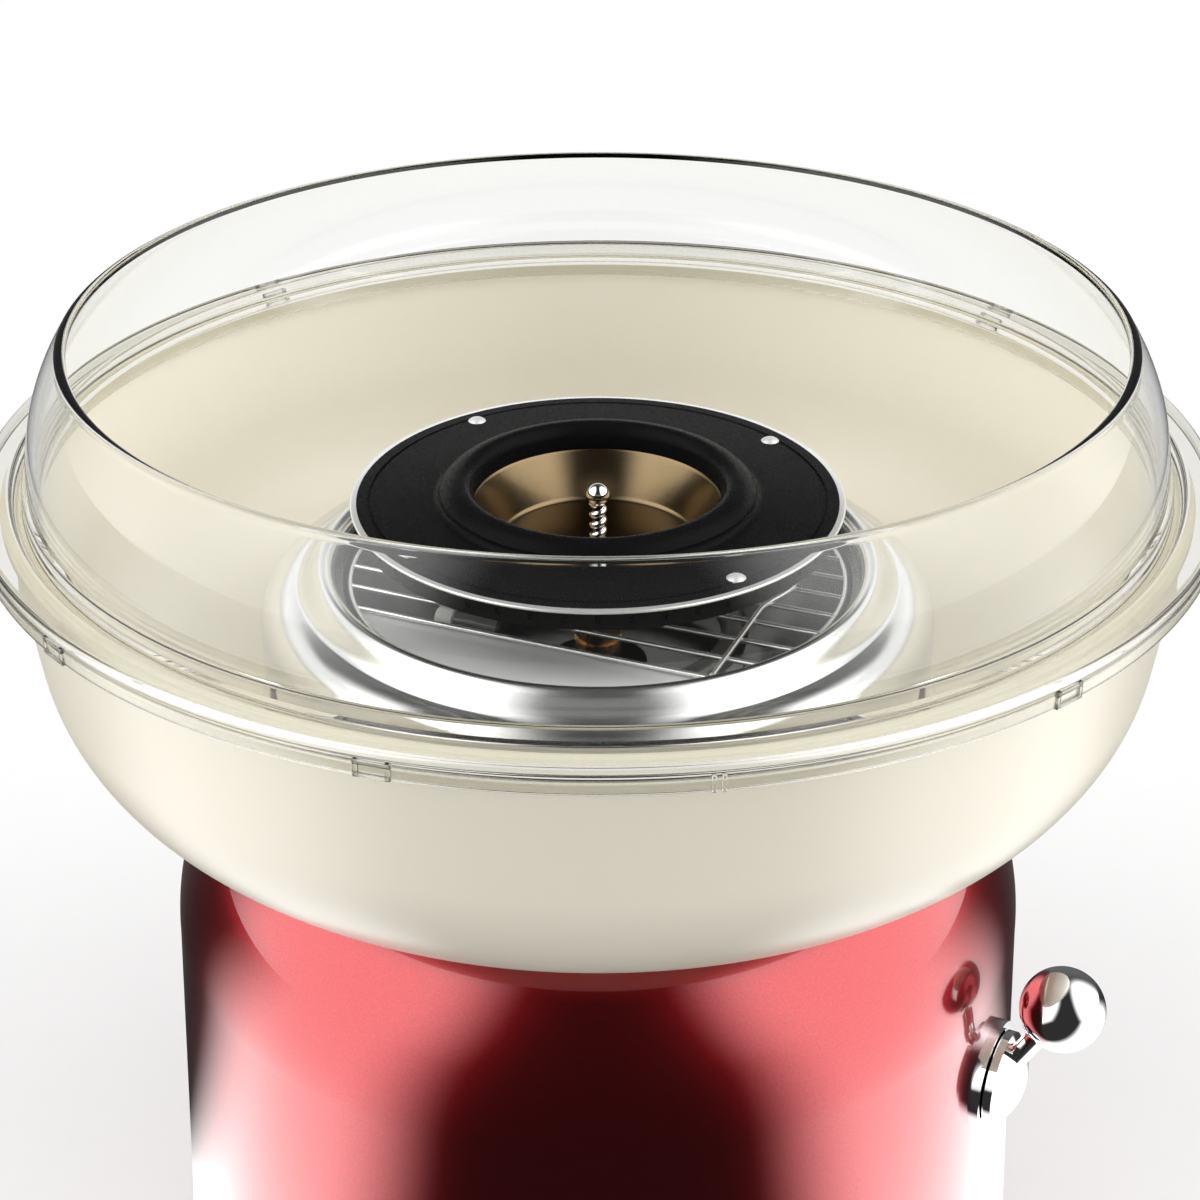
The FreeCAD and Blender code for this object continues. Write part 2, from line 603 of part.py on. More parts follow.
# ---------------------------------------------------------------- reflector, pan, heater, grille
def reflector():
    """Spun sheet: foot flange, skirt, round shoulder, cove, raised round lip; all one thickness."""
    r_out, t = REFLECTOR_RADIUS, SHEET
    top = DECK_Z + REFLECTOR_SKIRT_HEIGHT
    big = REFLECTOR_SHOULDER_ROUND
    shelf = top + big
    arc = (r_out - big, top)
    lip = (REFLECTOR_LIP_RADIUS, LIP_TOP - REFLECTOR_LIP_ROUND)
    lip_out, lip_in = REFLECTOR_LIP_ROUND, REFLECTOR_LIP_ROUND - t
    cove = lip[0] + lip_out
    body = turned(
        (r_out - t, DECK_Z), (r_out + REFLECTOR_FOOT_FLANGE, DECK_Z),
        (r_out + REFLECTOR_FOOT_FLANGE, DECK_Z + t), (r_out, DECK_Z + t), (r_out, top),
        (arc_point(arc, big, 45), (arc[0], shelf)), (cove, shelf), (cove, lip[1]),
        (arc_point(lip, lip_out, 90), (lip[0] - lip_out, lip[1])),
        (lip[0] - lip_out, PAN_RIM_Z), (lip[0] - lip_in, PAN_RIM_Z), (lip[0] - lip_in, lip[1]),
        (arc_point(lip, lip_in, 90), (cove - t, lip[1])), (cove - t, shelf - t),
        (arc[0], shelf - t), (arc_point(arc, big - t, 45), (r_out - t, top)))
    parts = [body]
    for x, y in ear_places():
        ear = rod(REFLECTOR_EAR_RADIUS, DECK_Z, DECK_Z + t, x, y)
        length = math.hypot(x, y)
        bridge = block((2 * REFLECTOR_EAR_RADIUS, 2 * REFLECTOR_EAR_RADIUS, t),
                       (length + REFLECTOR_EAR_RADIUS, 0, DECK_Z + t / 2))
        bridge = bridge.common(rod(r_out - t / 2, DECK_Z, DECK_Z + t))
        parts.append(joined([ear, spun(bridge, math.degrees(math.atan2(y, x)))]))
    shape = joined(parts)
    hole = SCREW_RADIUS + SCREW_FIT
    return shape.cut(Part.makeCompound([rod(hole, DECK_Z, DECK_Z + t, x, y) for x, y in ear_places()]))


def reflector_screws():
    head_low = DECK_Z + SHEET
    return Part.makeCompound([
        screw(x, y, head_low + SCREW_HEAD_HEIGHT, head_low, DECK_UNDER - SCREW_HEAD_HEIGHT)
        for x, y in ear_places()])


def pan_wall_radius(z):
    """Inside radius of the pan's curved wall at a height above its floor."""
    share = (z - PAN_FLOOR_Z) / PAN_DEPTH
    return PAN_FLOOR_RADIUS + (PAN_RADIUS - PAN_FLANGE_WIDTH - PAN_FLOOR_RADIUS) * math.sqrt(share)


def burner_pan():
    """Dished sheet under the heater, hung inside the reflector's lip."""
    t = SHEET
    top, floor_z = PAN_RIM_Z, PAN_FLOOR_Z
    wall_top = PAN_RADIUS - PAN_FLANGE_WIDTH
    half_z = floor_z + PAN_DEPTH / 2
    inner_middle = (pan_wall_radius(half_z), half_z)
    outer_middle = (inner_middle[0] + 0.5 * t, half_z - 0.9 * t)
    seat = top - SEAT_GAP
    body = turned(
        (PAN_HOLE_RADIUS, floor_z - t), (PAN_FLOOR_RADIUS, floor_z - t),
        (outer_middle, (wall_top + t, top - 2 * t - SEAT_GAP)), (PAN_RADIUS, top - 2 * t - SEAT_GAP),
        (PAN_RADIUS, seat), (PAN_RADIUS - t, seat), (PAN_RADIUS - t, top - t - SEAT_GAP),
        (wall_top, top - t - SEAT_GAP), (inner_middle, (PAN_FLOOR_RADIUS, floor_z)),
        (PAN_HOLE_RADIUS, floor_z))
    cuts = [rod(PAN_POST_SCREW_RADIUS + SCREW_FIT, floor_z - t, floor_z, x, y)
            for x, y in pan_post_places()]
    for angle in terminal_angles():
        x, y = on_circle(HEATER_RADIUS, angle)
        cuts.append(rod(TERMINAL_RADIUS + 1.5 + SCREW_FIT, floor_z - t, floor_z, x, y))
    return body.cut(Part.makeCompound(cuts))


def pan_posts():
    hole = PAN_POST_SCREW_RADIUS + SCREW_FIT
    return Part.makeCompound([tube(PAN_POST_RADIUS, hole, DECK_Z, PAN_FLOOR_Z - SHEET, x, y)
                              for x, y in pan_post_places()])


def pan_bolts():
    head = 1.6
    bolts = []
    for x, y in pan_post_places():
        shank = rod(PAN_POST_SCREW_RADIUS, DECK_UNDER - 2 * head, PAN_FLOOR_Z, x, y)
        cap = rod(2 * PAN_POST_SCREW_RADIUS, PAN_FLOOR_Z, PAN_FLOOR_Z + head, x, y)
        nut = rod(2 * PAN_POST_SCREW_RADIUS, DECK_UNDER - head, DECK_UNDER, x, y)
        bolts.append(joined([shank, cap, nut]))
    return Part.makeCompound(bolts)


def terminal_angles():
    return [270 - HEATER_GAP_ANGLE / 2, 270 + HEATER_GAP_ANGLE / 2]


def heater_height():
    return PAN_FLOOR_Z + HEATER_LIFT + HEATER_TUBE_RADIUS


def heater_ring():
    """Metal-sheathed heating element, an open ring whose cold ends point down."""
    z = heater_height()
    section = Part.Face(Part.Wire(Part.makeCircle(HEATER_TUBE_RADIUS, Vector(HEATER_RADIUS, 0, z),
                                                  Vector(0, 1, 0))))
    start, end = terminal_angles()
    ring = spun(section.revolve(ORIGIN, Z_AXIS, 360 - (end - start)), end)
    ends = []
    for angle in (start, end):
        x, y = on_circle(HEATER_RADIUS, angle)
        ends.append(Part.makeSphere(HEATER_TUBE_RADIUS, Vector(x, y, z)))
        ends.append(rod(TERMINAL_RADIUS, z - HEATER_LIFT - HEATER_TUBE_RADIUS - TERMINAL_LENGTH, z, x, y))
    return joined([ring] + ends)


def heater_bushes():
    """Ceramic sleeves that carry the cold ends through the pan's floor."""
    low = PAN_FLOOR_Z - SHEET - 5.0
    high = PAN_FLOOR_Z + HEATER_LIFT - 1.5
    bushes = []
    for angle in terminal_angles():
        x, y = on_circle(HEATER_RADIUS, angle)
        sleeve = tube(TERMINAL_RADIUS + 1.5, TERMINAL_RADIUS + SCREW_FIT, low, high, x, y)
        collar = tube(TERMINAL_RADIUS + 3.0, TERMINAL_RADIUS + 1.5, PAN_FLOOR_Z, high, x, y)
        bushes.append(joined([sleeve, collar]))
    return Part.makeCompound(bushes)


def heater_supports():
    """Ceramic cradles that hold the element off the pan."""
    z = heater_height()
    height = HEATER_LIFT + HEATER_TUBE_RADIUS
    cradle = block((2 * HEATER_TUBE_RADIUS + 3.0, HEATER_SUPPORT_WIDTH, height),
                   (HEATER_RADIUS, 0, PAN_FLOOR_Z + height / 2))
    groove = Part.makeTorus(HEATER_RADIUS, HEATER_TUBE_RADIUS + SCREW_FIT, Vector(0, 0, z))
    return Part.makeCompound(ring_of(cradle.cut(groove), HEATER_SUPPORT_COUNT, 90))


def grille_ring_radius():
    """The outer ring lies against the pan's curved wall."""
    return pan_wall_radius(GRILLE_Z) - GRILLE_WIRE_RADIUS - GRILLE_SEAT_GAP


def grille_wire(places):
    """Wire through places given along and across the grille, with rounded ends and corners."""
    points = [Vector(x, y, z) for x, y, z in places]
    parts = [Part.makeSphere(GRILLE_WIRE_RADIUS, point) for point in points]
    for start, end in zip(points, points[1:]):
        run = end - start
        parts.append(Part.makeCylinder(GRILLE_WIRE_RADIUS, run.Length, start, run))
    return joined(parts)


def wire_grille():
    """Welded finger guard: outer ring, long wires, short wires up to the open eye, cross wires."""
    ring, pitch = grille_ring_radius(), GRILLE_SPACING
    z, cross_z = GRILLE_Z, GRILLE_Z + GRILLE_WIRE_RADIUS
    wires = [Part.makeTorus(ring, GRILLE_WIRE_RADIUS, Vector(0, 0, z))]
    for i in range(-GRILLE_HALF_COUNT, GRILLE_HALF_COUNT + 1):
        y = i * pitch
        reach = math.sqrt(ring ** 2 - y ** 2)
        if abs(y) >= GRILLE_EYE_RADIUS:
            wires.append(grille_wire([(-reach, y, z), (reach, y, z)]))
            continue
        eye = math.sqrt(GRILLE_EYE_RADIUS ** 2 - y ** 2)
        wires.append(grille_wire([(-reach, y, z), (-eye, y, z)]))
        wires.append(grille_wire([(reach, y, z), (eye, y, z)]))
    y = -2 * pitch
    eye = math.sqrt(GRILLE_EYE_RADIUS ** 2 - y ** 2)
    wires.append(grille_wire([(eye, y, z), (eye - GRILLE_HOOK / 2, y + GRILLE_HOOK, cross_z)]))
    across = GRILLE_CROSS_OFFSET
    wires.append(grille_wire([(across, -4 * pitch, cross_z), (across, -pitch / 2, cross_z),
                              (across + GRILLE_KINK, pitch, cross_z),
                              (across + GRILLE_KINK, 2 * pitch, cross_z)]))
    wires.append(grille_wire([(-across, -2 * pitch, cross_z), (-across, 3 * pitch, cross_z)]))
    return spun(joined(wires), GRILLE_AZIMUTH)


def thermal_fuse():
    """Sleeved thermal cut-out with ceramic caps, hung under one of the grille's long wires."""
    offset = -3 * GRILLE_SPACING
    z = GRILLE_Z - GRILLE_WIRE_RADIUS - FUSE_RADIUS - SEAT_GAP / 2
    start = FUSE_ALONG - FUSE_LENGTH
    sleeve = Part.makeCylinder(FUSE_RADIUS, FUSE_LENGTH, Vector(start, offset, z), X_AXIS)
    caps = [Part.makeCylinder(FUSE_RADIUS + 0.1, 3.0, Vector(x, offset, z), X_AXIS)
            for x in (start, FUSE_ALONG - 3.0)]
    return spun(joined([sleeve] + caps), GRILLE_AZIMUTH)


# ---------------------------------------------------------------- motor and spindle
def motor_seat_top():
    """Underside of the deck's pillars, where the bracket's rubber grommets begin."""
    return MOTOR_TOP + BRACKET_THICKNESS + 2.0


def motor_can():
    """Open-bottomed steel can with a hole for the upper bearing bush."""
    shell = rod(MOTOR_RADIUS, MOTOR_BOTTOM, MOTOR_TOP)
    cavity = rod(MOTOR_RADIUS - MOTOR_WALL, MOTOR_BOTTOM, MOTOR_TOP - MOTOR_WALL)
    hole = rod(MOTOR_BUSH_RADIUS, MOTOR_TOP - MOTOR_WALL, MOTOR_TOP)
    return shell.cut(Part.makeCompound([cavity, hole]))


def motor_magnets():
    """Two curved field magnets glued inside the can."""
    outer = MOTOR_RADIUS - MOTOR_WALL
    inner = ARMATURE_RADIUS + 1.0
    low = MOTOR_BOTTOM + CORE_LIFT
    shell = tube(outer, inner, low, low + ARMATURE_HEIGHT)
    gap = block((2 * outer, MAGNET_GAP, ARMATURE_HEIGHT), (0, 0, low + ARMATURE_HEIGHT / 2))
    return shell.cut(gap)


def motor_end_cap():
    """Moulded lower bearing cap with cooling windows."""
    cup = rod(MOTOR_RADIUS, CAP_BOTTOM, MOTOR_BOTTOM)
    cavity = rod(MOTOR_RADIUS - 2.0, CAP_BOTTOM + 2.0, MOTOR_BOTTOM)
    hole = rod(MOTOR_BUSH_RADIUS, CAP_BOTTOM, CAP_BOTTOM + 2.0)
    window = block((MOTOR_RADIUS, 9.0, 3.0),
                   (MOTOR_RADIUS, 0, MOTOR_BOTTOM - 4.0))
    return cup.cut(Part.makeCompound([cavity, hole] + ring_of(window, 6)))


def motor_bush(low):
    """Sintered bearing bush for the shaft."""
    return tube(MOTOR_BUSH_RADIUS, SHAFT_RADIUS + RUN_FIT, low, low + MOTOR_BUSH_HEIGHT)


def motor_bushes():
    return Part.makeCompound([motor_bush(MOTOR_TOP - MOTOR_WALL), motor_bush(CAP_BOTTOM)])


def motor_bracket():
    """Pressed plate on top of the motor, with ears for the rubber mounts."""
    plate = rod(BRACKET_RADIUS, MOTOR_TOP, MOTOR_TOP + BRACKET_THICKNESS)
    cuts = [rod(MOTOR_BUSH_RADIUS + 1.0, MOTOR_TOP, MOTOR_TOP + BRACKET_THICKNESS)]
    for x, y in bracket_places():
        cuts.append(rod(SCREW_RADIUS + 2.0, MOTOR_TOP, MOTOR_TOP + BRACKET_THICKNESS, x, y))
    for angle in terminal_angles():
        x, y = on_circle(HEATER_RADIUS, angle)
        cuts.append(rod(2 * TERMINAL_RADIUS, MOTOR_TOP, MOTOR_TOP + BRACKET_THICKNESS, x, y))
    return plate.cut(Part.makeCompound(cuts))


def motor_grommets():
    """Rubber bobbins between the bracket and the deck's pillars."""
    waist = SCREW_RADIUS + 2.0
    low, high = MOTOR_TOP - 2.0, MOTOR_TOP + BRACKET_THICKNESS
    bobbins = []
    for x, y in bracket_places():
        parts = [rod(GROMMET_RADIUS, low, MOTOR_TOP, x, y), rod(waist, low, high, x, y),
                 rod(GROMMET_RADIUS, high, motor_seat_top(), x, y)]
        hole = rod(SCREW_RADIUS + SCREW_FIT, low, motor_seat_top(), x, y)
        bobbins.append(joined(parts).cut(hole))
    return Part.makeCompound(bobbins)


def motor_screws():
    low = MOTOR_TOP - 2.0
    tip = DECK_UNDER - 1.0
    return Part.makeCompound([screw(x, y, low - SCREW_HEAD_HEIGHT, low, tip)
                              for x, y in bracket_places()])


def motor_shaft():
    shape = rod(SHAFT_RADIUS, FAN_BOTTOM - 2.0, SHAFT_TOP)
    pin_hole = Part.makeCylinder(DRIVE_PIN_RADIUS, 2 * SHAFT_RADIUS,
                                 Vector(-SHAFT_RADIUS, 0, DRIVE_PIN_Z), X_AXIS)
    return shape.cut(pin_hole).makeChamfer(0.5, [top_edge(shape.cut(pin_hole))])


def top_edge(shape):
    return max(shape.Edges, key=lambda e: e.BoundBox.ZMin)


def drive_pin():
    return Part.makeCylinder(DRIVE_PIN_RADIUS, DRIVE_PIN_LENGTH,
                             Vector(-DRIVE_PIN_LENGTH / 2, 0, DRIVE_PIN_Z), X_AXIS)


def drive_collar():
    """Brass collar that the extractor head sits on."""
    groove = tube(COLLAR_RADIUS + 1.0, COLLAR_RADIUS - 0.7, COLLAR_BOTTOM + 0.45 * COLLAR_HEIGHT,
                  COLLAR_BOTTOM + 0.6 * COLLAR_HEIGHT)
    return tube(COLLAR_RADIUS, SHAFT_RADIUS, COLLAR_BOTTOM, COLLAR_TOP).cut(groove)


def armature():
    """Laminated core with slots and a commutator below it."""
    low = MOTOR_BOTTOM + CORE_LIFT
    core = tube(ARMATURE_RADIUS, SHAFT_RADIUS, low, low + ARMATURE_HEIGHT)
    slot = block((8.0, 2.4, ARMATURE_HEIGHT), (ARMATURE_RADIUS, 0, low + ARMATURE_HEIGHT / 2))
    core = core.cut(Part.makeCompound(ring_of(slot, 12)))
    commutator = tube(COMMUTATOR_RADIUS, SHAFT_RADIUS, low - COMMUTATOR_HEIGHT, low)
    return joined([core, commutator])


def cooling_fan():
    hub = tube(FAN_HUB_RADIUS, SHAFT_RADIUS, FAN_BOTTOM, FAN_TOP)
    disc = tube(FAN_RADIUS, SHAFT_RADIUS, FAN_TOP - 1.5, FAN_TOP)
    span = FAN_RADIUS - FAN_HUB_RADIUS + 1.0
    blade = block((span, FAN_BLADE_WALL, FAN_HEIGHT),
                  (FAN_HUB_RADIUS - 1.0 + span / 2, 0, (FAN_BOTTOM + FAN_TOP) / 2))
    return joined([hub, disc] + ring_of(blade, FAN_BLADE_COUNT))


# ---------------------------------------------------------------- extractor head
def head_ring_points():
    """Crest and outer foot radii of the raised ring round the mouth."""
    crest = HEAD_MOUTH_RADIUS + 0.45 * HEAD_RING_WIDTH
    return crest, HEAD_MOUTH_RADIUS + HEAD_RING_WIDTH


def head_top():
    """Black top plate: flat disc, raised rolled ring and the mouth that sugar is spooned into."""
    t = HEAD_PLATE
    crest, foot = head_ring_points()
    top = HEAD_TOP + HEAD_RING_RISE
    bend_out = (0.5 * (crest + foot) + 0.8, HEAD_TOP + 0.62 * HEAD_RING_RISE)
    bend_in = (HEAD_MOUTH_RADIUS + 0.9, top - 0.9)
    plate = turned(
        (HEAD_MOUTH_RADIUS, PLATE_UNDER), (HEAD_INNER_RADIUS, PLATE_UNDER),
        (HEAD_INNER_RADIUS, HEAD_TOP), (foot, HEAD_TOP), (bend_out, (crest, top)),
        (bend_in, (HEAD_MOUTH_RADIUS, HEAD_TOP + 0.35 * HEAD_RING_RISE)))
    hollow = turned(
        (HEAD_MOUTH_RADIUS + t, PLATE_UNDER), (foot - t, PLATE_UNDER),
        ((bend_out[0] - t, bend_out[1] - t), (crest, top - t)),
        (HEAD_MOUTH_RADIUS + t, HEAD_TOP + 0.35 * HEAD_RING_RISE))
    groove_out = HEAD_INNER_RADIUS - HEAD_GROOVE_INSET
    groove = tube(groove_out, groove_out - HEAD_GROOVE_WIDTH, HEAD_TOP - HEAD_GROOVE_DEPTH, HEAD_TOP)
    cuts = [hollow, groove]
    for x, y in rivet_places():
        cuts.append(rod(RIVET_RADIUS + SCREW_FIT, PLATE_UNDER, HEAD_TOP, x, y))
    return plate.cut(Part.makeCompound(cuts))


def rivet_places():
    step = 360.0 / HEAD_RIVET_COUNT
    return [on_circle(HEAD_RIVET_CIRCLE, HEAD_RIVET_AZIMUTH + i * step) for i in range(HEAD_RIVET_COUNT)]


def head_rim():
    """Bright half-round bead clamped on the edge of the top plate."""
    high = HEAD_TOP + HEAD_RIM_PROUD
    half = (high - PLATE_UNDER) / 2
    return turned((HEAD_INNER_RADIUS, PLATE_UNDER), (HEAD_RADIUS - half, PLATE_UNDER),
                  ((HEAD_RADIUS, PLATE_UNDER + half), (HEAD_RADIUS - half, high)),
                  (HEAD_INNER_RADIUS, HEAD_TOP))


def spinneret_band():
    """Thin slotted band that the molten sugar is thrown through."""
    outer = HEAD_INNER_RADIUS - RUN_FIT
    band = tube(outer, outer - HEAD_BAND_WALL, BAND_BOTTOM, PLATE_UNDER)
    slot = block((6.0, HEAD_BAND_SLOT_WIDTH, 0.6 * HEAD_SLOT_HEIGHT),
                 (outer, 0, (BAND_BOTTOM + PLATE_UNDER) / 2))
    return band.cut(Part.makeCompound(ring_of(slot, HEAD_BAND_SLOTS)))


def pan_slope_z(radius):
    """Inside height of the head's lower pan at a radius on its cone."""
    share = (radius - HEAD_PAN_FLOOR_RADIUS) / (HEAD_INNER_RADIUS - RUN_FIT - HEAD_PAN_FLOOR_RADIUS)
    return HEAD_FLOOR + SHEET + share * HEAD_PAN_DEPTH


def head_pan():
    """Black lower pan that collects the sugar and feeds it outwards."""
    outer = HEAD_INNER_RADIUS - RUN_FIT
    t = SHEET
    body = turned(
        (HEAD_HUB_RADIUS + SCREW_FIT, HEAD_FLOOR), (HEAD_PAN_FLOOR_RADIUS, HEAD_FLOOR),
        (outer, BAND_BOTTOM - t), (outer, BAND_BOTTOM), (outer - t, BAND_BOTTOM),
        (HEAD_PAN_FLOOR_RADIUS - 0.5 * t, HEAD_FLOOR + t), (HEAD_HUB_RADIUS + SCREW_FIT, HEAD_FLOOR + t))
    holes = [rod(RIVET_RADIUS + SCREW_FIT, HEAD_FLOOR, BAND_BOTTOM, x, y) for x, y in rivet_places()]
    return body.cut(Part.makeCompound(holes))


def head_cup():
    """Gold-toned cup hung under the mouth by its flange, open at its foot through a ring of ports."""
    t = SHEET
    mouth = HEAD_MOUTH_RADIUS + CUP_MOUTH_STEP
    flange = head_ring_points()[1] + CUP_FLANGE_SEAT
    floor_r = HEAD_CUP_FLOOR_RADIUS
    low = CUP_FLOOR - t
    high = PLATE_UNDER
    shell = turned(
        (POST_RADIUS + SCREW_FIT, low), (floor_r, low), (mouth, high - t), (flange, high - t),
        (flange, high), (mouth - t, high), (floor_r - t, low + t), (POST_RADIUS + SCREW_FIT, low + t))
    port = block((8.0, CUP_PORT_WIDTH, CUP_PORT_HEIGHT),
                 ((floor_r + mouth) / 2, 0, (CUP_FLOOR + high) / 2))
    return shell.cut(Part.makeCompound(ring_of(port, CUP_PORT_COUNT)))


def head_hub():
    """Steel hub under the head: a flange riveted below the cup and a sleeve slotted for the pin."""
    sleeve = rod(HEAD_HUB_RADIUS, HUB_BOTTOM, HEAD_FLOOR + SHEET)
    bore = rod(SHAFT_RADIUS + RUN_FIT, HUB_BOTTOM, SHAFT_TOP + SEAT_GAP)
    slot_width = 2 * (DRIVE_PIN_RADIUS + RUN_FIT)
    slot_height = DRIVE_PIN_Z - HUB_BOTTOM + DRIVE_PIN_RADIUS + SEAT_GAP
    slot = block((4 * HEAD_HUB_RADIUS, slot_width, slot_height), (0, 0, HUB_BOTTOM + slot_height / 2))
    flange = tube(HEAD_HUB_RADIUS + 4.0, HEAD_HUB_RADIUS - 1.0, HEAD_FLOOR - 1.2, HEAD_FLOOR)
    stud_hole = rod(POST_RADIUS, SHAFT_TOP + SEAT_GAP, HEAD_FLOOR + SHEET)
    return joined([sleeve, flange]).cut(Part.makeCompound([bore, slot, stud_hole]))


def centre_post():
    """Threaded stud with a domed head that clamps the cup to the hub."""
    top = HEAD_TOP + POST_RISE
    dome_z = top - POST_DOME_RADIUS
    neck = POST_RADIUS
    bottom = SHAFT_TOP + SEAT_GAP
    stud = rod(neck, bottom, dome_z)
    dome = Part.makeSphere(POST_DOME_RADIUS, Vector(0, 0, dome_z))
    threads = []
    count = int((dome_z - POST_DOME_RADIUS - CUP_FLOOR - POST_NUT_HEIGHT) / THREAD_PITCH)
    for i in range(count):
        z = CUP_FLOOR + POST_NUT_HEIGHT + (i + 0.5) * THREAD_PITCH
        threads.append(turned((neck - 0.2, z - 0.5 * THREAD_PITCH), (neck + THREAD_DEPTH, z),
                              (neck - 0.2, z + 0.5 * THREAD_PITCH)))
    nut = rod(POST_NUT_RADIUS, CUP_FLOOR, CUP_FLOOR + POST_NUT_HEIGHT)
    return joined([stud, dome, nut] + threads)


def head_rivets():
    """Domed rivets through the two plates."""
    rivets = []
    for x, y in rivet_places():
        low = pan_slope_z(HEAD_RIVET_CIRCLE) - SHEET - 2 * RIVET_HEAD_HEIGHT
        shank = rod(RIVET_RADIUS, low, HEAD_TOP, x, y)
        dome = rivet_dome()
        dome.translate(Vector(x, y, HEAD_TOP))
        spacer = tube(RIVET_HEAD_RADIUS, RIVET_RADIUS, pan_slope_z(HEAD_RIVET_CIRCLE) + 1.2,
                      PLATE_UNDER, x, y)
        foot = rod(RIVET_HEAD_RADIUS, low - RIVET_HEAD_HEIGHT, low, x, y)
        rivets.append(joined([shank, dome, spacer, foot]))
    return Part.makeCompound(rivets)


def rivet_dome():
    r, h = RIVET_HEAD_RADIUS, RIVET_HEAD_HEIGHT
    sphere = (r * r + h * h) / (2 * h)
    angle = math.asin(r / sphere) / 2
    middle = (sphere * math.sin(angle), h - sphere + sphere * math.cos(angle))
    return turned((0, 0), (r, 0), (middle, (0, h)))


# ---------------------------------------------------------------- on/off lever and switch
def lever_face():
    """Outside radius of the housing at the lever's height."""
    return wall_radius(LEVER_HEIGHT)


def lever_plate():
    """Chromed escutcheon on the housing, hollowed to its curve and clamping the switch bush."""
    out = lever_face() + LEVER_PLATE_THICKNESS
    disc = radial_rod(LEVER_PLATE_RADIUS, lever_face() - 3.0, out)
    bush = radial_rod(SWITCH_BUSH_RADIUS + SCREW_FIT, lever_face() - 4.0, out)
    return across_wall(disc.cut(bush)).cut(drum(0, HOUSING_BOTTOM, DECK_Z))


def switch_inner_face():
    """Outer end of the switch case, just inside the housing wall."""
    return clear_of_wall(LEVER_HEIGHT, SWITCH_HEIGHT / 2, SWITCH_WIDTH / 2)


def switch_body():
    """Rotary switch: moulded case, threaded bush through the wall and three solder tags."""
    face = switch_inner_face()
    back = face - SWITCH_DEPTH
    case = block((SWITCH_DEPTH, SWITCH_WIDTH, SWITCH_HEIGHT), ((face + back) / 2, 0, LEVER_HEIGHT))
    bush = radial_rod(SWITCH_BUSH_RADIUS, face, lever_face() + LEVER_PLATE_THICKNESS)
    bore = radial_rod(SWITCH_SHAFT_RADIUS + RUN_FIT, back + SWITCH_WALL,
                      lever_face() + LEVER_PLATE_THICKNESS)
    tag_size = (SWITCH_TERMINAL_LENGTH, SWITCH_TAG_THICKNESS, SWITCH_TAG_WIDTH)
    tags = [block(tag_size, (back - SWITCH_TERMINAL_LENGTH / 2, side * SWITCH_TAG_PITCH, LEVER_HEIGHT))
            for side in (-1, 0, 1)]
    return across_wall(joined([case, bush] + tags).cut(bore))


def switch_shaft():
    start = switch_inner_face() - SWITCH_DEPTH + SWITCH_WALL + SEAT_GAP
    return across_wall(radial_rod(SWITCH_SHAFT_RADIUS, start, hub_start() + 0.6 * LEVER_HUB_HEIGHT))


def hub_start():
    return lever_face() + LEVER_PLATE_THICKNESS + SEAT_GAP


def ball_centre():
    return lever_face() + LEVER_BALL_REACH, LEVER_HEIGHT + LEVER_BALL_RISE


def hub_solid():
    """Domed hub, built along +X: a short rim and a spherical cap."""
    r, h = LEVER_HUB_RADIUS, LEVER_HUB_HEIGHT
    rim = 0.3 * h
    cap = h - rim
    sphere = (r * r + cap * cap) / (2 * cap)
    angle = math.asin(r / sphere) / 2
    middle = (sphere * math.sin(angle), h - sphere + sphere * math.cos(angle))
    dome = turned((0, 0), (r, 0), (r, rim), (middle, (0, h)))
    dome.rotate(ORIGIN, Vector(0, 1, 0), 90)
    dome.translate(Vector(hub_start(), 0, LEVER_HEIGHT))
    return dome


def rod_ends():
    """Ends of the lever rod's centre line: inside the hub and inside the ball."""
    ball_x, ball_z = ball_centre()
    start = Vector(hub_start() + 0.35 * LEVER_HUB_HEIGHT, 0, LEVER_HEIGHT + 0.35 * LEVER_HUB_RADIUS)
    return start, Vector(ball_x, 0, ball_z)


def rod_solid(extra=0.0):
    start, end = rod_ends()
    along = end - start
    length = along.Length - 0.45 * LEVER_BALL_RADIUS
    return Part.makeCylinder(LEVER_ROD_RADIUS + extra, length, start, along)


def lever_hub():
    bore = radial_rod(SWITCH_SHAFT_RADIUS, hub_start(), hub_start() + 0.6 * LEVER_HUB_HEIGHT)
    return across_wall(hub_solid().cut(Part.makeCompound([bore])))


def lever_rod():
    return across_wall(rod_solid().cut(hub_solid()))


def lever_ball():
    ball_x, ball_z = ball_centre()
    ball = Part.makeSphere(LEVER_BALL_RADIUS, Vector(ball_x, 0, ball_z))
    return across_wall(ball.cut(rod_solid()))


# ---------------------------------------------------------------- cord gland, terminals and leads
def gland_inner_face():
    """Outer face of the grommet's inner ridge, just inside the housing wall."""
    ridge = GLAND_RADIUS + GLAND_RIDGE
    return clear_of_wall(GLAND_HEIGHT, ridge, ridge)


def cord_gland():
    """Rubber grommet in the back wall; the supply cord would pass through it."""
    wall = wall_radius(GLAND_HEIGHT)
    out = wall + GLAND_FLANGE
    inner = gland_inner_face() - GLAND_RIDGE_LENGTH
    y_axis = Vector(0, 1, 0)
    sleeve = Part.makeCylinder(GLAND_RADIUS, out - inner, Vector(0, inner, GLAND_HEIGHT), y_axis)
    flange = Part.makeCylinder(GLAND_FLANGE_RADIUS, out - gland_inner_face(),
                               Vector(0, gland_inner_face(), GLAND_HEIGHT), y_axis)
    flange = flange.cut(drum(0, HOUSING_BOTTOM, DECK_Z))
    ridge = Part.makeCylinder(GLAND_RADIUS + GLAND_RIDGE, GLAND_RIDGE_LENGTH,
                              Vector(0, inner, GLAND_HEIGHT), y_axis)
    bore = Part.makeCylinder(GLAND_BORE_RADIUS, out - inner, Vector(0, inner, GLAND_HEIGHT), y_axis)
    return joined([sleeve, flange, ridge]).cut(bore)


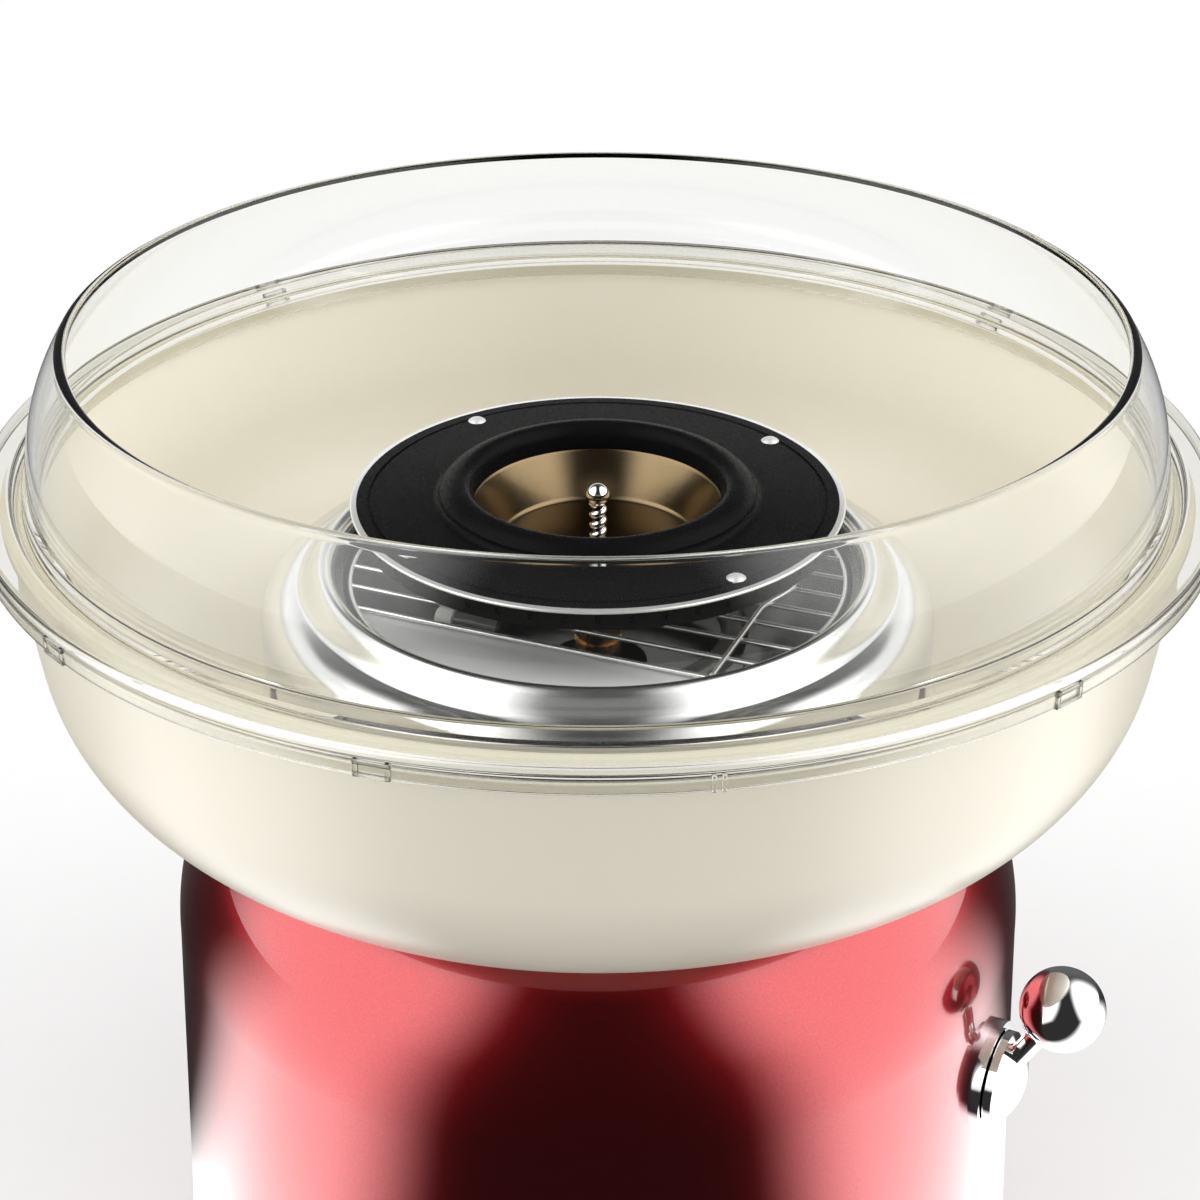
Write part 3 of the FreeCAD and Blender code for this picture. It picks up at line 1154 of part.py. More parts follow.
def block_y():
    """Middle of the terminal block, set back from the wall to leave room for the cord."""
    return wall_radius(COVER_TOP) - HOUSING_WALL - BLOCK_BACK_GAP - BLOCK_DEPTH / 2


def terminal_block():
    """Screw terminals on the bottom cover, just inside the gland."""
    case = block((BLOCK_LENGTH, BLOCK_DEPTH, BLOCK_HEIGHT), (0, block_y(), COVER_TOP + BLOCK_HEIGHT / 2))
    pitch = BLOCK_LENGTH / BLOCK_WAYS
    wells = [rod(BLOCK_WELL_RADIUS, COVER_TOP + BLOCK_HEIGHT - BLOCK_WELL_DEPTH,
                 COVER_TOP + BLOCK_HEIGHT, (i - (BLOCK_WAYS - 1) / 2) * pitch, block_y())
             for i in range(BLOCK_WAYS)]
    return case.cut(Part.makeCompound(wells))


def lead(points):
    """Round insulated lead: straight runs joined by arcs as large as the runs allow."""
    corners = [Vector(*p) for p in points]
    edges = []
    radii = []
    here = corners[0]
    for before, corner, after in zip(corners, corners[1:], corners[2:]):
        arrive, leave = corner - before, after - corner
        turn = arrive.getAngle(leave)
        back = 0.45 * min(arrive.Length, leave.Length)
        arrive.normalize()
        leave.normalize()
        start, end = corner - arrive * back, corner + leave * back
        radius = back / math.tan(turn / 2)
        radii.append(radius)
        inward = leave - arrive
        inward.normalize()
        middle = corner + inward * (radius / math.cos(turn / 2) - radius)
        edges.append(Part.LineSegment(here, start).toShape())
        edges.append(Part.Arc(start, middle, end).toShape())
        here = end
    edges.append(Part.LineSegment(here, corners[-1]).toShape())
    path = Part.Wire(edges)
    ring = Part.Wire(Part.makeCircle(LEAD_RADIUS, corners[0], corners[1] - corners[0]))
    solid = path.makePipeShell([ring], True, False)
    section = math.pi * LEAD_RADIUS ** 2
    print("lead: smallest bend %.1f mm, volume ratio %.3f"
          % (min(radii), solid.Volume / (section * path.Length)))
    return solid


def block_point(way, out=0.0):
    """A place in front of one way of the terminal block, on the side that faces the motor."""
    pitch = BLOCK_LENGTH / BLOCK_WAYS
    return ((way - (BLOCK_WAYS - 1) / 2) * pitch, block_y() - BLOCK_DEPTH / 2 - out,
            COVER_TOP + BLOCK_HEIGHT / 2)


def switch_point(inward, offset, rise=0.0):
    """A place behind the switch's solder tags, given along and across the switch."""
    along = switch_inner_face() - SWITCH_DEPTH - SWITCH_TERMINAL_LENGTH - inward
    angle = math.radians(LEVER_AZIMUTH)
    return (along * math.cos(angle) - offset * math.sin(angle),
            along * math.sin(angle) + offset * math.cos(angle), LEVER_HEIGHT + rise)


def route_point(azimuth, steps):
    """A place on the leads' way round the motor, some steps above the bottom cover."""
    x, y = on_circle(LEAD_CIRCLE_RADIUS, azimuth)
    return x, y, COVER_TOP + steps * LEAD_STEP


def switch_lead():
    return lead([block_point(2), block_point(2, LEAD_EXIT), route_point(50, 1.2),
                 route_point(12, 2.6), switch_point(1.25 * LEAD_EXIT, SWITCH_TAG_PITCH, -1.5 * LEAD_STEP),
                 switch_point(LEAD_EXIT, SWITCH_TAG_PITCH), switch_point(0, SWITCH_TAG_PITCH)])


def motor_lead():
    height = CAP_BOTTOM + MOTOR_CAP_HEIGHT / 2
    side = MOTOR_RADIUS + LEAD_EXIT
    return lead([block_point(1), block_point(1, LEAD_EXIT), route_point(86, 1.8),
                 (LEAD_RADIUS, side + LEAD_RADIUS, height - LEAD_EXIT),
                 (0, side, height), (0, MOTOR_RADIUS, height)])


def heater_lead():
    x, y = on_circle(HEATER_RADIUS, terminal_angles()[0])
    tip = heater_height() - HEATER_LIFT - HEATER_TUBE_RADIUS - TERMINAL_LENGTH
    return lead([block_point(0), block_point(0, LEAD_EXIT), route_point(132, 1.3),
                 route_point(172, 2.3), route_point(213, 4.2),
                 (x - LEAD_RADIUS, y - LEAD_STEP, tip - 4 * LEAD_STEP),
                 (x, y, tip - 2 * LEAD_STEP), (x, y, tip)])


# ---------------------------------------------------------------- all nodes
def nodes():
    made = {
        "housing": housing(),
        "bottom_cover": bottom_cover(),
        "bottom_screws": bottom_screws(),
        "cord_gland": cord_gland(),
        "terminal_block": terminal_block(),
        "switch_lead": switch_lead(),
        "motor_lead": motor_lead(),
        "heater_lead": heater_lead(),
        "switch_body": switch_body(),
        "lever_plate": lever_plate(),
        "reflector": reflector(),
        "reflector_screws": reflector_screws(),
        "burner_pan": burner_pan(),
        "pan_posts": pan_posts(),
        "pan_bolts": pan_bolts(),
        "heater_ring": heater_ring(),
        "heater_bushes": heater_bushes(),
        "heater_supports": heater_supports(),
        "wire_grille": wire_grille(),
        "thermal_fuse": thermal_fuse(),
        "motor_can": motor_can(),
        "motor_magnets": motor_magnets(),
        "motor_end_cap": motor_end_cap(),
        "motor_bushes": motor_bushes(),
        "motor_bracket": motor_bracket(),
        "motor_grommets": motor_grommets(),
        "motor_screws": motor_screws(),
        "motor_shaft": motor_shaft(),
        "armature": armature(),
        "cooling_fan": cooling_fan(),
        "drive_collar": drive_collar(),
        "drive_pin": drive_pin(),
        "head_top": head_top(),
        "head_rim": head_rim(),
        "spinneret_band": spinneret_band(),
        "head_pan": head_pan(),
        "head_cup": head_cup(),
        "head_hub": head_hub(),
        "centre_post": centre_post(),
        "head_rivets": head_rivets(),
        "bowl": bowl(),
        "rim_guard": rim_guard(),
        "switch_shaft": switch_shaft(),
        "lever_hub": lever_hub(),
        "lever_rod": lever_rod(),
        "lever_ball": lever_ball(),
    }
    for number, (x, y) in enumerate(foot_places(), start=1):
        made["suction_foot_%d" % number] = suction_foot(x, y)
    return made


os.makedirs("parts", exist_ok=True)
for name, shape in nodes().items():
    if not shape.isValid() or shape.Volume <= 0:
        raise ValueError("bad solid: " + name)
    shape.exportStep("parts/%s.step" % name)
print("nodes written:", len(os.listdir("parts")))
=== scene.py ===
"""Look of a table-top cotton candy machine: red lacquered drum, cream bowl, clear rim guard,
polished reflector, satin black spinning head and a chrome ball lever."""

import itertools
import json
import math

import bpy
from mathutils import Matrix, Vector


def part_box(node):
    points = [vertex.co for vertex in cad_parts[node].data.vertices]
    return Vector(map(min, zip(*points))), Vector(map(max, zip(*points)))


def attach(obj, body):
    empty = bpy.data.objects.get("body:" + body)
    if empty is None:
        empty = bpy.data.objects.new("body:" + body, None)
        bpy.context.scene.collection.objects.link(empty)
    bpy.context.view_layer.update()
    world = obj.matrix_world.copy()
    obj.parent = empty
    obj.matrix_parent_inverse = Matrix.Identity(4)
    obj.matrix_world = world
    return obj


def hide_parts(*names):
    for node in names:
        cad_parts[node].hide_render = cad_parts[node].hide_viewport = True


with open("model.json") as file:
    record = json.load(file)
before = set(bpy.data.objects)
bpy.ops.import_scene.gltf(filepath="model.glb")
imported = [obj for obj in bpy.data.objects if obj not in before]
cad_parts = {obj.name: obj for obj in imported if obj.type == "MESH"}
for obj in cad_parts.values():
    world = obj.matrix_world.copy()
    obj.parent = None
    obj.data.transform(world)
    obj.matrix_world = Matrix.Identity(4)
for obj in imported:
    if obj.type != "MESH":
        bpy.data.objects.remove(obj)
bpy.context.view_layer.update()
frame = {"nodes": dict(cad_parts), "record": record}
MM = 0.001

# ---------------------------------------------------------------- places read from the frame (mm)


def node_box(node):
    """Lowest and highest corner of a CAD node in millimetres."""
    low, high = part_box(node)
    return Vector(low) / MM, Vector(high) / MM


HOUSING_LOW, HOUSING_HIGH = node_box("housing")
BOWL_LOW, BOWL_HIGH = node_box("bowl")
GUARD_LOW, GUARD_HIGH = node_box("rim_guard")
REFLECTOR_LOW, REFLECTOR_HIGH = node_box("reflector")
PAN_LOW, PAN_HIGH = node_box("burner_pan")
GRILLE_LOW, GRILLE_HIGH = node_box("wire_grille")
HEAD_LOW, HEAD_HIGH = node_box("head_top")
RIM_LOW, RIM_HIGH = node_box("head_rim")
POST_LOW, POST_HIGH = node_box("centre_post")
CUP_LOW, CUP_HIGH = node_box("head_cup")

DECK_Z = HOUSING_HIGH.z
GUARD_TOP = GUARD_HIGH.z


# ---------------------------------------------------------------- mesh helpers (sections in mm)
SMOOTH_ANGLE = 32.0
SAME_POINT = 1e-4
SAME_PLACE = 1e-6
WIRE_ROUNDNESS = 5


def arc(centre, radius, start, end, steps=14):
    """Points (r, z) on an arc of a section; angles in degrees, anticlockwise from outward."""
    points = []
    for i in range(steps + 1):
        angle = math.radians(start + (end - start) * i / steps)
        points.append((centre[0] + radius * math.cos(angle), centre[1] + radius * math.sin(angle)))
    return points


def arc_through(a, b, c, steps=14):
    """Points on the arc from a to c that passes through b."""
    ax, ay, bx, by, cx, cy = *a, *b, *c
    d = 2 * (ax * (by - cy) + bx * (cy - ay) + cx * (ay - by))
    ux = ((ax * ax + ay * ay) * (by - cy) + (bx * bx + by * by) * (cy - ay)
          + (cx * cx + cy * cy) * (ay - by)) / d
    uy = ((ax * ax + ay * ay) * (cx - bx) + (bx * bx + by * by) * (ax - cx)
          + (cx * cx + cy * cy) * (bx - ax)) / d
    radius = math.hypot(ax - ux, ay - uy)
    start, middle, end = (math.atan2(y - uy, x - ux) for x, y in (a, b, c))
    turn = (end - start) % (2 * math.pi)
    if (middle - start) % (2 * math.pi) > turn:
        turn -= 2 * math.pi
    return [(ux + radius * math.cos(start + turn * i / steps),
             uy + radius * math.sin(start + turn * i / steps)) for i in range(steps + 1)]


def tidy(points):
    """Drop points that repeat their neighbour."""
    kept = []
    for p in points:
        if not kept or math.dist(p, kept[-1]) > SAME_POINT:
            kept.append(p)
    if math.dist(kept[0], kept[-1]) < SAME_POINT:
        kept.pop()
    return kept


def add_mesh(name, vertices, faces):
    """Mesh object from millimetre vertices, smooth except at sharp edges."""
    mesh = bpy.data.meshes.new(name)
    mesh.from_pydata([Vector(v) * MM for v in vertices], [], faces)
    mesh.validate()
    mesh.polygons.foreach_set("use_smooth", [True] * len(mesh.polygons))
    mesh.set_sharp_from_angle(angle=math.radians(SMOOTH_ANGLE))
    piece = bpy.data.objects.new(name, mesh)
    bpy.context.scene.collection.objects.link(piece)
    return piece


def lathe(name, section, segments):
    """Closed solid of revolution about Z from a closed (r, z) section, listed anticlockwise."""
    section = tidy(section)
    vertices = []
    rows = []
    for r, z in section:
        if r < SAME_POINT:
            rows.append([len(vertices)] * segments)
            vertices.append((0.0, 0.0, z))
            continue
        rows.append(list(range(len(vertices), len(vertices) + segments)))
        for i in range(segments):
            angle = 2 * math.pi * i / segments
            vertices.append((r * math.cos(angle), r * math.sin(angle), z))
    faces = []
    for j, row in enumerate(rows):
        above = rows[(j + 1) % len(rows)]
        for i in range(segments):
            k = (i + 1) % segments
            face = []
            for index in (row[i], row[k], above[k], above[i]):
                if index not in face:
                    face.append(index)
            if len(face) > 2:
                faces.append(face)
    return add_mesh(name, vertices, faces)


def wire(name, routes, radius):
    """Round wires along lists of points in mm, as one mesh; a list may end where it starts."""
    curve = bpy.data.curves.new(name, "CURVE")
    curve.dimensions = "3D"
    curve.bevel_depth = radius * MM
    curve.bevel_resolution = WIRE_ROUNDNESS
    curve.use_fill_caps = True
    for route in routes:
        spline = curve.splines.new("POLY")
        spline.points.add(len(route) - 1)
        for point, place in zip(spline.points, route):
            point.co = (*(Vector(place) * MM), 1.0)
        spline.use_cyclic_u = (Vector(route[0]) - Vector(route[-1])).length < SAME_PLACE
    source = bpy.data.objects.new(name + "_curve", curve)
    bpy.context.scene.collection.objects.link(source)
    mesh = bpy.data.meshes.new_from_object(source)
    bpy.data.objects.remove(source)
    bpy.data.curves.remove(curve)
    mesh.polygons.foreach_set("use_smooth", [True] * len(mesh.polygons))
    piece = bpy.data.objects.new(name, mesh)
    bpy.context.scene.collection.objects.link(piece)
    return piece


def place(piece, body, material, slot, *nodes):
    """Dress a piece, let it ride on its body and stand for CAD nodes."""
    piece.data.materials.clear()
    piece.data.materials.append(material)
    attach(piece, body)
    if nodes:
        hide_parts(*nodes)
    return piece


# ---------------------------------------------------------------- material helpers
def new_material(name):
    """A material, its node tree and its shader."""
    material = bpy.data.materials.new(name)
    material.use_nodes = True
    tree = material.node_tree
    return material, tree, tree.nodes["Principled BSDF"]


def noise(tree, scale, detail=3.0):
    """Noise in the object's own space."""
    space = tree.nodes.new("ShaderNodeTexCoord")
    texture = tree.nodes.new("ShaderNodeTexNoise")
    texture.inputs["Scale"].default_value = scale
    texture.inputs["Detail"].default_value = detail
    tree.links.new(space.outputs["Object"], texture.inputs["Vector"])
    return texture.outputs["Fac"]


RAMP_START, RAMP_END = 0.3, 0.7


def ramp(tree, source, low, high):
    """Colour between two values as a noise goes through its middle range."""
    node = tree.nodes.new("ShaderNodeValToRGB")
    node.color_ramp.elements[0].position = RAMP_START
    node.color_ramp.elements[1].position = RAMP_END
    node.color_ramp.elements[0].color = (*low, 1.0)
    node.color_ramp.elements[1].color = (*high, 1.0)
    tree.links.new(source, node.inputs["Fac"])
    return node.outputs["Color"]


def span(tree, source, low, high):
    """Number between low and high as a factor goes from 0 to 1."""
    node = tree.nodes.new("ShaderNodeMapRange")
    node.inputs["To Min"].default_value = low
    node.inputs["To Max"].default_value = high
    tree.links.new(source, node.inputs["Value"])
    return node.outputs["Result"]


def smooth_step(tree, source, low, high, start, end):
    """Smooth change from start to end as a value goes from low to high."""
    node = tree.nodes.new("ShaderNodeMapRange")
    node.interpolation_type = "SMOOTHSTEP"
    node.inputs["From Min"].default_value = low
    node.inputs["From Max"].default_value = high
    node.inputs["To Min"].default_value = start
    node.inputs["To Max"].default_value = end
    tree.links.new(source, node.inputs["Value"])
    return node.outputs["Result"]


def bump(tree, shader, source, depth_mm, strength=1.0):
    """Fine relief on the surface."""
    node = tree.nodes.new("ShaderNodeBump")
    node.inputs["Strength"].default_value = strength
    node.inputs["Distance"].default_value = depth_mm * MM
    tree.links.new(source, node.inputs["Height"])
    tree.links.new(node.outputs["Normal"], shader.inputs["Normal"])


def radial_rings(tree, pitch_mm):
    """Turning marks: noise that varies with the distance from the axis and the height only."""
    space = tree.nodes.new("ShaderNodeTexCoord")
    split = tree.nodes.new("ShaderNodeSeparateXYZ")
    flat = tree.nodes.new("ShaderNodeCombineXYZ")
    length = tree.nodes.new("ShaderNodeVectorMath")
    length.operation = "LENGTH"
    join = tree.nodes.new("ShaderNodeCombineXYZ")
    texture = tree.nodes.new("ShaderNodeTexNoise")
    texture.inputs["Scale"].default_value = 1.0 / (pitch_mm * MM)
    texture.inputs["Detail"].default_value = 4.0
    tree.links.new(space.outputs["Object"], split.inputs["Vector"])
    tree.links.new(split.outputs["X"], flat.inputs["X"])
    tree.links.new(split.outputs["Y"], flat.inputs["Y"])
    tree.links.new(flat.outputs["Vector"], length.inputs[0])
    tree.links.new(length.outputs["Value"], join.inputs["X"])
    tree.links.new(split.outputs["Z"], join.inputs["Y"])
    tree.links.new(join.outputs["Vector"], texture.inputs["Vector"])
    return texture.outputs["Fac"]


def plain(name, colour, roughness, metallic=0.0, grain=900.0, depth=0.02, vary=0.12, shine=0.5):
    """Moulded, cast or plated finish with slight variation of tone, gloss and relief."""
    material, tree, shader = new_material(name)
    shader.inputs["Metallic"].default_value = metallic
    dark = tuple(c * (1 - vary) for c in colour)
    light = tuple(min(1.0, c * (1 + vary)) for c in colour)
    broad = noise(tree, 40.0)
    tree.links.new(ramp(tree, broad, dark, light), shader.inputs["Base Color"])
    fine = noise(tree, grain, 2.0)
    tree.links.new(span(tree, fine, roughness * 0.8, min(1.0, roughness * 1.2)),
                   shader.inputs["Roughness"])
    bump(tree, shader, fine, depth)
    shader.inputs["Specular IOR Level"].default_value = shine
    return material


TURNED_VARY = 0.04


def turned_metal(name, colour, roughness, pitch_mm, depth):
    """Spun or turned metal with fine concentric marks."""
    material, tree, shader = new_material(name)
    shader.inputs["Metallic"].default_value = 1.0
    rings = radial_rings(tree, pitch_mm)
    dark = tuple(c * (1 - TURNED_VARY) for c in colour)
    tree.links.new(ramp(tree, rings, dark, colour), shader.inputs["Base Color"])
    smear = noise(tree, 60.0, 4.0)
    tree.links.new(span(tree, smear, roughness * 0.7, roughness * 1.3), shader.inputs["Roughness"])
    bump(tree, shader, rings, depth)
    return material


def lacquer():
    """Deep red metallic lacquer under a clear coat."""
    material, tree, shader = new_material("red_lacquer")
    flakes = noise(tree, 2600.0, 1.0)
    tree.links.new(ramp(tree, flakes, (0.31, 0.006, 0.010), (0.40, 0.013, 0.018)),
                   shader.inputs["Base Color"])
    shader.inputs["Metallic"].default_value = 0.97
    shader.inputs["Roughness"].default_value = 0.26
    shader.inputs["Coat Weight"].default_value = 1.0
    shader.inputs["Coat Roughness"].default_value = 0.02
    shader.inputs["Coat IOR"].default_value = 1.7
    bump(tree, shader, flakes, 0.004, 0.3)
    return material


def cream_plastic():
    """Warm cream moulding with a soft, even shine."""
    material, tree, shader = new_material("cream_plastic")
    broad = noise(tree, 7.0, 1.0)
    tree.links.new(ramp(tree, broad, (0.80, 0.758, 0.635), (0.82, 0.778, 0.655)),
                   shader.inputs["Base Color"])
    shader.inputs["Subsurface Weight"].default_value = 0.1
    shader.inputs["Subsurface Radius"].default_value = (1.0, 0.8, 0.5)
    shader.inputs["Subsurface Scale"].default_value = 0.003
    soft = noise(tree, 18.0, 1.0)
    tree.links.new(span(tree, soft, 0.26, 0.32), shader.inputs["Roughness"])
    return material


def shade_darkened_pan():
    """Spun dish coloured near-black: painted shade for the dark it lies in under the head."""
    material, tree, shader = new_material("pan_aluminium")
    shader.inputs["Metallic"].default_value = 1.0
    rings = radial_rings(tree, 0.5)
    # Painted shade: near-black base colour for the pan in the head's shade.
    tree.links.new(ramp(tree, rings, (0.10, 0.10, 0.10), (0.13, 0.13, 0.13)),
                   shader.inputs["Base Color"])
    tree.links.new(span(tree, noise(tree, 60.0, 4.0), 0.16, 0.30), shader.inputs["Roughness"])
    bump(tree, shader, rings, 0.001)
    return material


# Painted shade: the guard's flange and skirt are coloured darker olive below a height, for the
# shade under the flange.
FLANGE_PAINTED_SHADE = (0.91, 0.90, 0.85)
PAINTED_SHADE_HEIGHT = GUARD_LOW.z + 6.5
PAINTED_SHADE_FADE = 2.5


def clear_plastic():
    """Clear moulding with painted shade at the flange, darker below a height; shadow rays pass
    straight through it.
    """
    material, tree, shader = new_material("clear_plastic")
    broad = noise(tree, 9.0, 2.0)
    # Painted shade: the darker colour is mixed in below the flange height.
    shade_mix = tree.nodes.new("ShaderNodeMixRGB")
    shade_mix.inputs["Color2"].default_value = (*FLANGE_PAINTED_SHADE, 1.0)
    tree.links.new(ramp(tree, broad, (0.965, 0.972, 0.955), (0.98, 0.985, 0.972)),
                   shade_mix.inputs["Color1"])
    space = tree.nodes.new("ShaderNodeTexCoord")
    split = tree.nodes.new("ShaderNodeSeparateXYZ")
    tree.links.new(space.outputs["Object"], split.inputs["Vector"])
    tree.links.new(smooth_step(tree, split.outputs["Z"], PAINTED_SHADE_HEIGHT * MM,
                               (PAINTED_SHADE_HEIGHT + PAINTED_SHADE_FADE) * MM, 1.0, 0.0), shade_mix.inputs["Fac"])
    tree.links.new(shade_mix.outputs["Color"], shader.inputs["Base Color"])
    shader.inputs["Transmission Weight"].default_value = 1.0
    shader.inputs["Roughness"].default_value = 0.015
    shader.inputs["IOR"].default_value = 1.49
    bump(tree, shader, noise(tree, 24.0, 2.0), 0.06, 0.35)
    through = tree.nodes.new("ShaderNodeBsdfTransparent")
    through.inputs["Color"].default_value = (0.93, 0.94, 0.92, 1.0)
    rays = tree.nodes.new("ShaderNodeLightPath")
    mix = tree.nodes.new("ShaderNodeMixShader")
    output = tree.nodes["Material Output"]
    tree.links.new(rays.outputs["Is Shadow Ray"], mix.inputs["Fac"])
    tree.links.new(shader.outputs["BSDF"], mix.inputs[1])
    tree.links.new(through.outputs["BSDF"], mix.inputs[2])
    tree.links.new(mix.outputs["Shader"], output.inputs["Surface"])
    return material


# Of plain: name, colour, roughness, metallic, grain per metre, relief in mm, variation, shine.
# Of turned_metal: name, colour, roughness, pitch of the marks in mm, relief in mm.
RED = lacquer()
CREAM = cream_plastic()
CLEAR = clear_plastic()
ALUMINIUM = turned_metal("polished_aluminium", (0.80, 0.80, 0.80), 0.18, 0.35, 0.0004)
# The pan's near-black colour is painted shade under the head.
PAN_METAL = shade_darkened_pan()
HEAD_BRIGHT = plain("head_bright", (0.84, 0.84, 0.84), 0.22, 0.7, 700.0, 0.004, 0.04)
CHROME = plain("lever_chrome", (0.92, 0.92, 0.93), 0.035, 1.0, 300.0, 0.001, 0.02)
HEAD_BLACK = plain("head_black", (0.005, 0.005, 0.005), 0.27, 0.0, 2200.0, 0.00004, 0.08, 0.03)
GOLD = turned_metal("cup_gold", (0.20, 0.145, 0.08), 0.22, 0.4, 0.002)
WIRE = plain("wire_zinc", (0.86, 0.86, 0.85), 0.24, 0.8, 700.0, 0.003, 0.06)
BRASS = turned_metal("collar_brass", (0.62, 0.38, 0.17), 0.28, 0.3, 0.004)
STEEL = plain("zinc_steel", (0.60, 0.60, 0.59), 0.32, 1.0, 500.0, 0.008, 0.1)
DARK_STEEL = plain("heater_sheath", (0.16, 0.15, 0.14), 0.42, 1.0, 700.0, 0.02, 0.25)
# Painted reflection: bright satin for the sheet laid in the dark pan.
REFLECTION_PATCH_PAINT = plain("painted_reflection_satin", (0.88, 0.88, 0.88), 0.38, 0.15, 500.0, 0.001, 0.03)
CAP_WHITE = plain("fuse_cap_white", (0.90, 0.895, 0.88), 0.35, 0.0, 900.0, 0.01, 0.03)
CERAMIC = plain("ceramic", (0.82, 0.80, 0.74), 0.45, 0.0, 900.0, 0.02, 0.05)
RIVET = plain("rivet_aluminium", (0.72, 0.72, 0.72), 0.38, 0.5, 900.0, 0.01, 0.08)
SLEEVE_GREY = plain("fuse_sleeve", (0.16, 0.16, 0.16), 0.25, 0.0, 1200.0, 0.01, 0.1)
BLACK_PLASTIC = plain("black_plastic", (0.018, 0.018, 0.018), 0.5, 0.0, 1400.0, 0.03, 0.1)
RUBBER = plain("foot_rubber", (0.02, 0.02, 0.02), 0.62, 0.0, 1100.0, 0.04, 0.15)
BLOCK = plain("block_plastic", (0.66, 0.63, 0.54), 0.45)
SLEEVING = plain("lead_sleeve", (0.70, 0.70, 0.66), 0.6, 0.0, 2500.0, 0.05, 0.1)
MAGNET = plain("magnet", (0.05, 0.05, 0.05), 0.6, 0.3)
BRONZE = plain("bearing_bronze", (0.45, 0.29, 0.14), 0.4, 1.0)
ARMATURE = plain("armature_iron", (0.30, 0.17, 0.09), 0.4, 0.8)

NODE_MATERIALS = {
    "body_red": RED, "black_plastic": BLACK_PLASTIC, "screw_steel": STEEL, "foot_rubber": RUBBER,
    "block_plastic": BLOCK, "lead_sleeve": SLEEVING, "lever_chrome": CHROME,
    "polished_aluminium": ALUMINIUM, "heater_sheath": DARK_STEEL, "ceramic": CERAMIC,
    "wire_zinc": WIRE, "motor_steel": STEEL, "magnet": MAGNET, "bearing_bronze": BRONZE,
    "shaft_steel": STEEL, "armature_iron": ARMATURE, "collar_brass": BRASS,
    "head_black": HEAD_BLACK, "head_bright": HEAD_BRIGHT, "cup_gold": GOLD,
    "bowl_cream": CREAM, "guard_clear": CLEAR,
}


def dress_nodes():
    """Give every CAD node the procedural material of its slot."""
    slots = {part["node"]: part["material_slot"] for part in frame["record"]["subparts"]}
    for name, node in frame["nodes"].items():
        node.data.materials.clear()
        node.data.materials.append(NODE_MATERIALS[slots[name]])


dress_nodes()

# ---------------------------------------------------------------- clear rim guard
GUARD_WALL = 2.2
GUARD_TOP_RADIUS = 120.0
GUARD_BULGE_RADIUS = 50.7
GUARD_BEAD_WIDTH = 2.2
GUARD_BEAD_HEIGHT = 1.0
GUARD_FOOT = 129.32
GUARD_STEP = 1.1
GUARD_STEP_HEIGHT = 4.2
GUARD_FLANGE = 2.0
GUARD_SPIGOT_DEPTH = 3.0
GUARD_SPIGOT_RADIUS = 131.6
GUARD_SKIRT_IN = 139.1
GUARD_SKIRT_OUT = 141.0
GUARD_SKIRT_DROP = 1.8
GUARD_GROOVE = 2.2
GUARD_SHOULDER = 1.9
GUARD_CLIP_AZIMUTHS = (-50.0, 40.0, 130.0, 220.0, -107.0)
GUARD_CLIP_WIDTH = 7.5
GUARD_RIB_AZIMUTHS = (-81.39, -80.61)
GUARD_EDGE = 0.35
GUARD_ROOT = 0.6
GUARD_STEP_EDGE = 0.5
GUARD_WALL_START = 0.6
GUARD_BEAD_LAP = 1.0
BAR_DEPTH = 1.0
BAR_SUNK = 0.02
CLIP_BAR = 1.1
RIB_BAR = 0.9
BAR_SOFT = 0.2
FLANGE_UNDER = GUARD_LOW.z + GUARD_SPIGOT_DEPTH


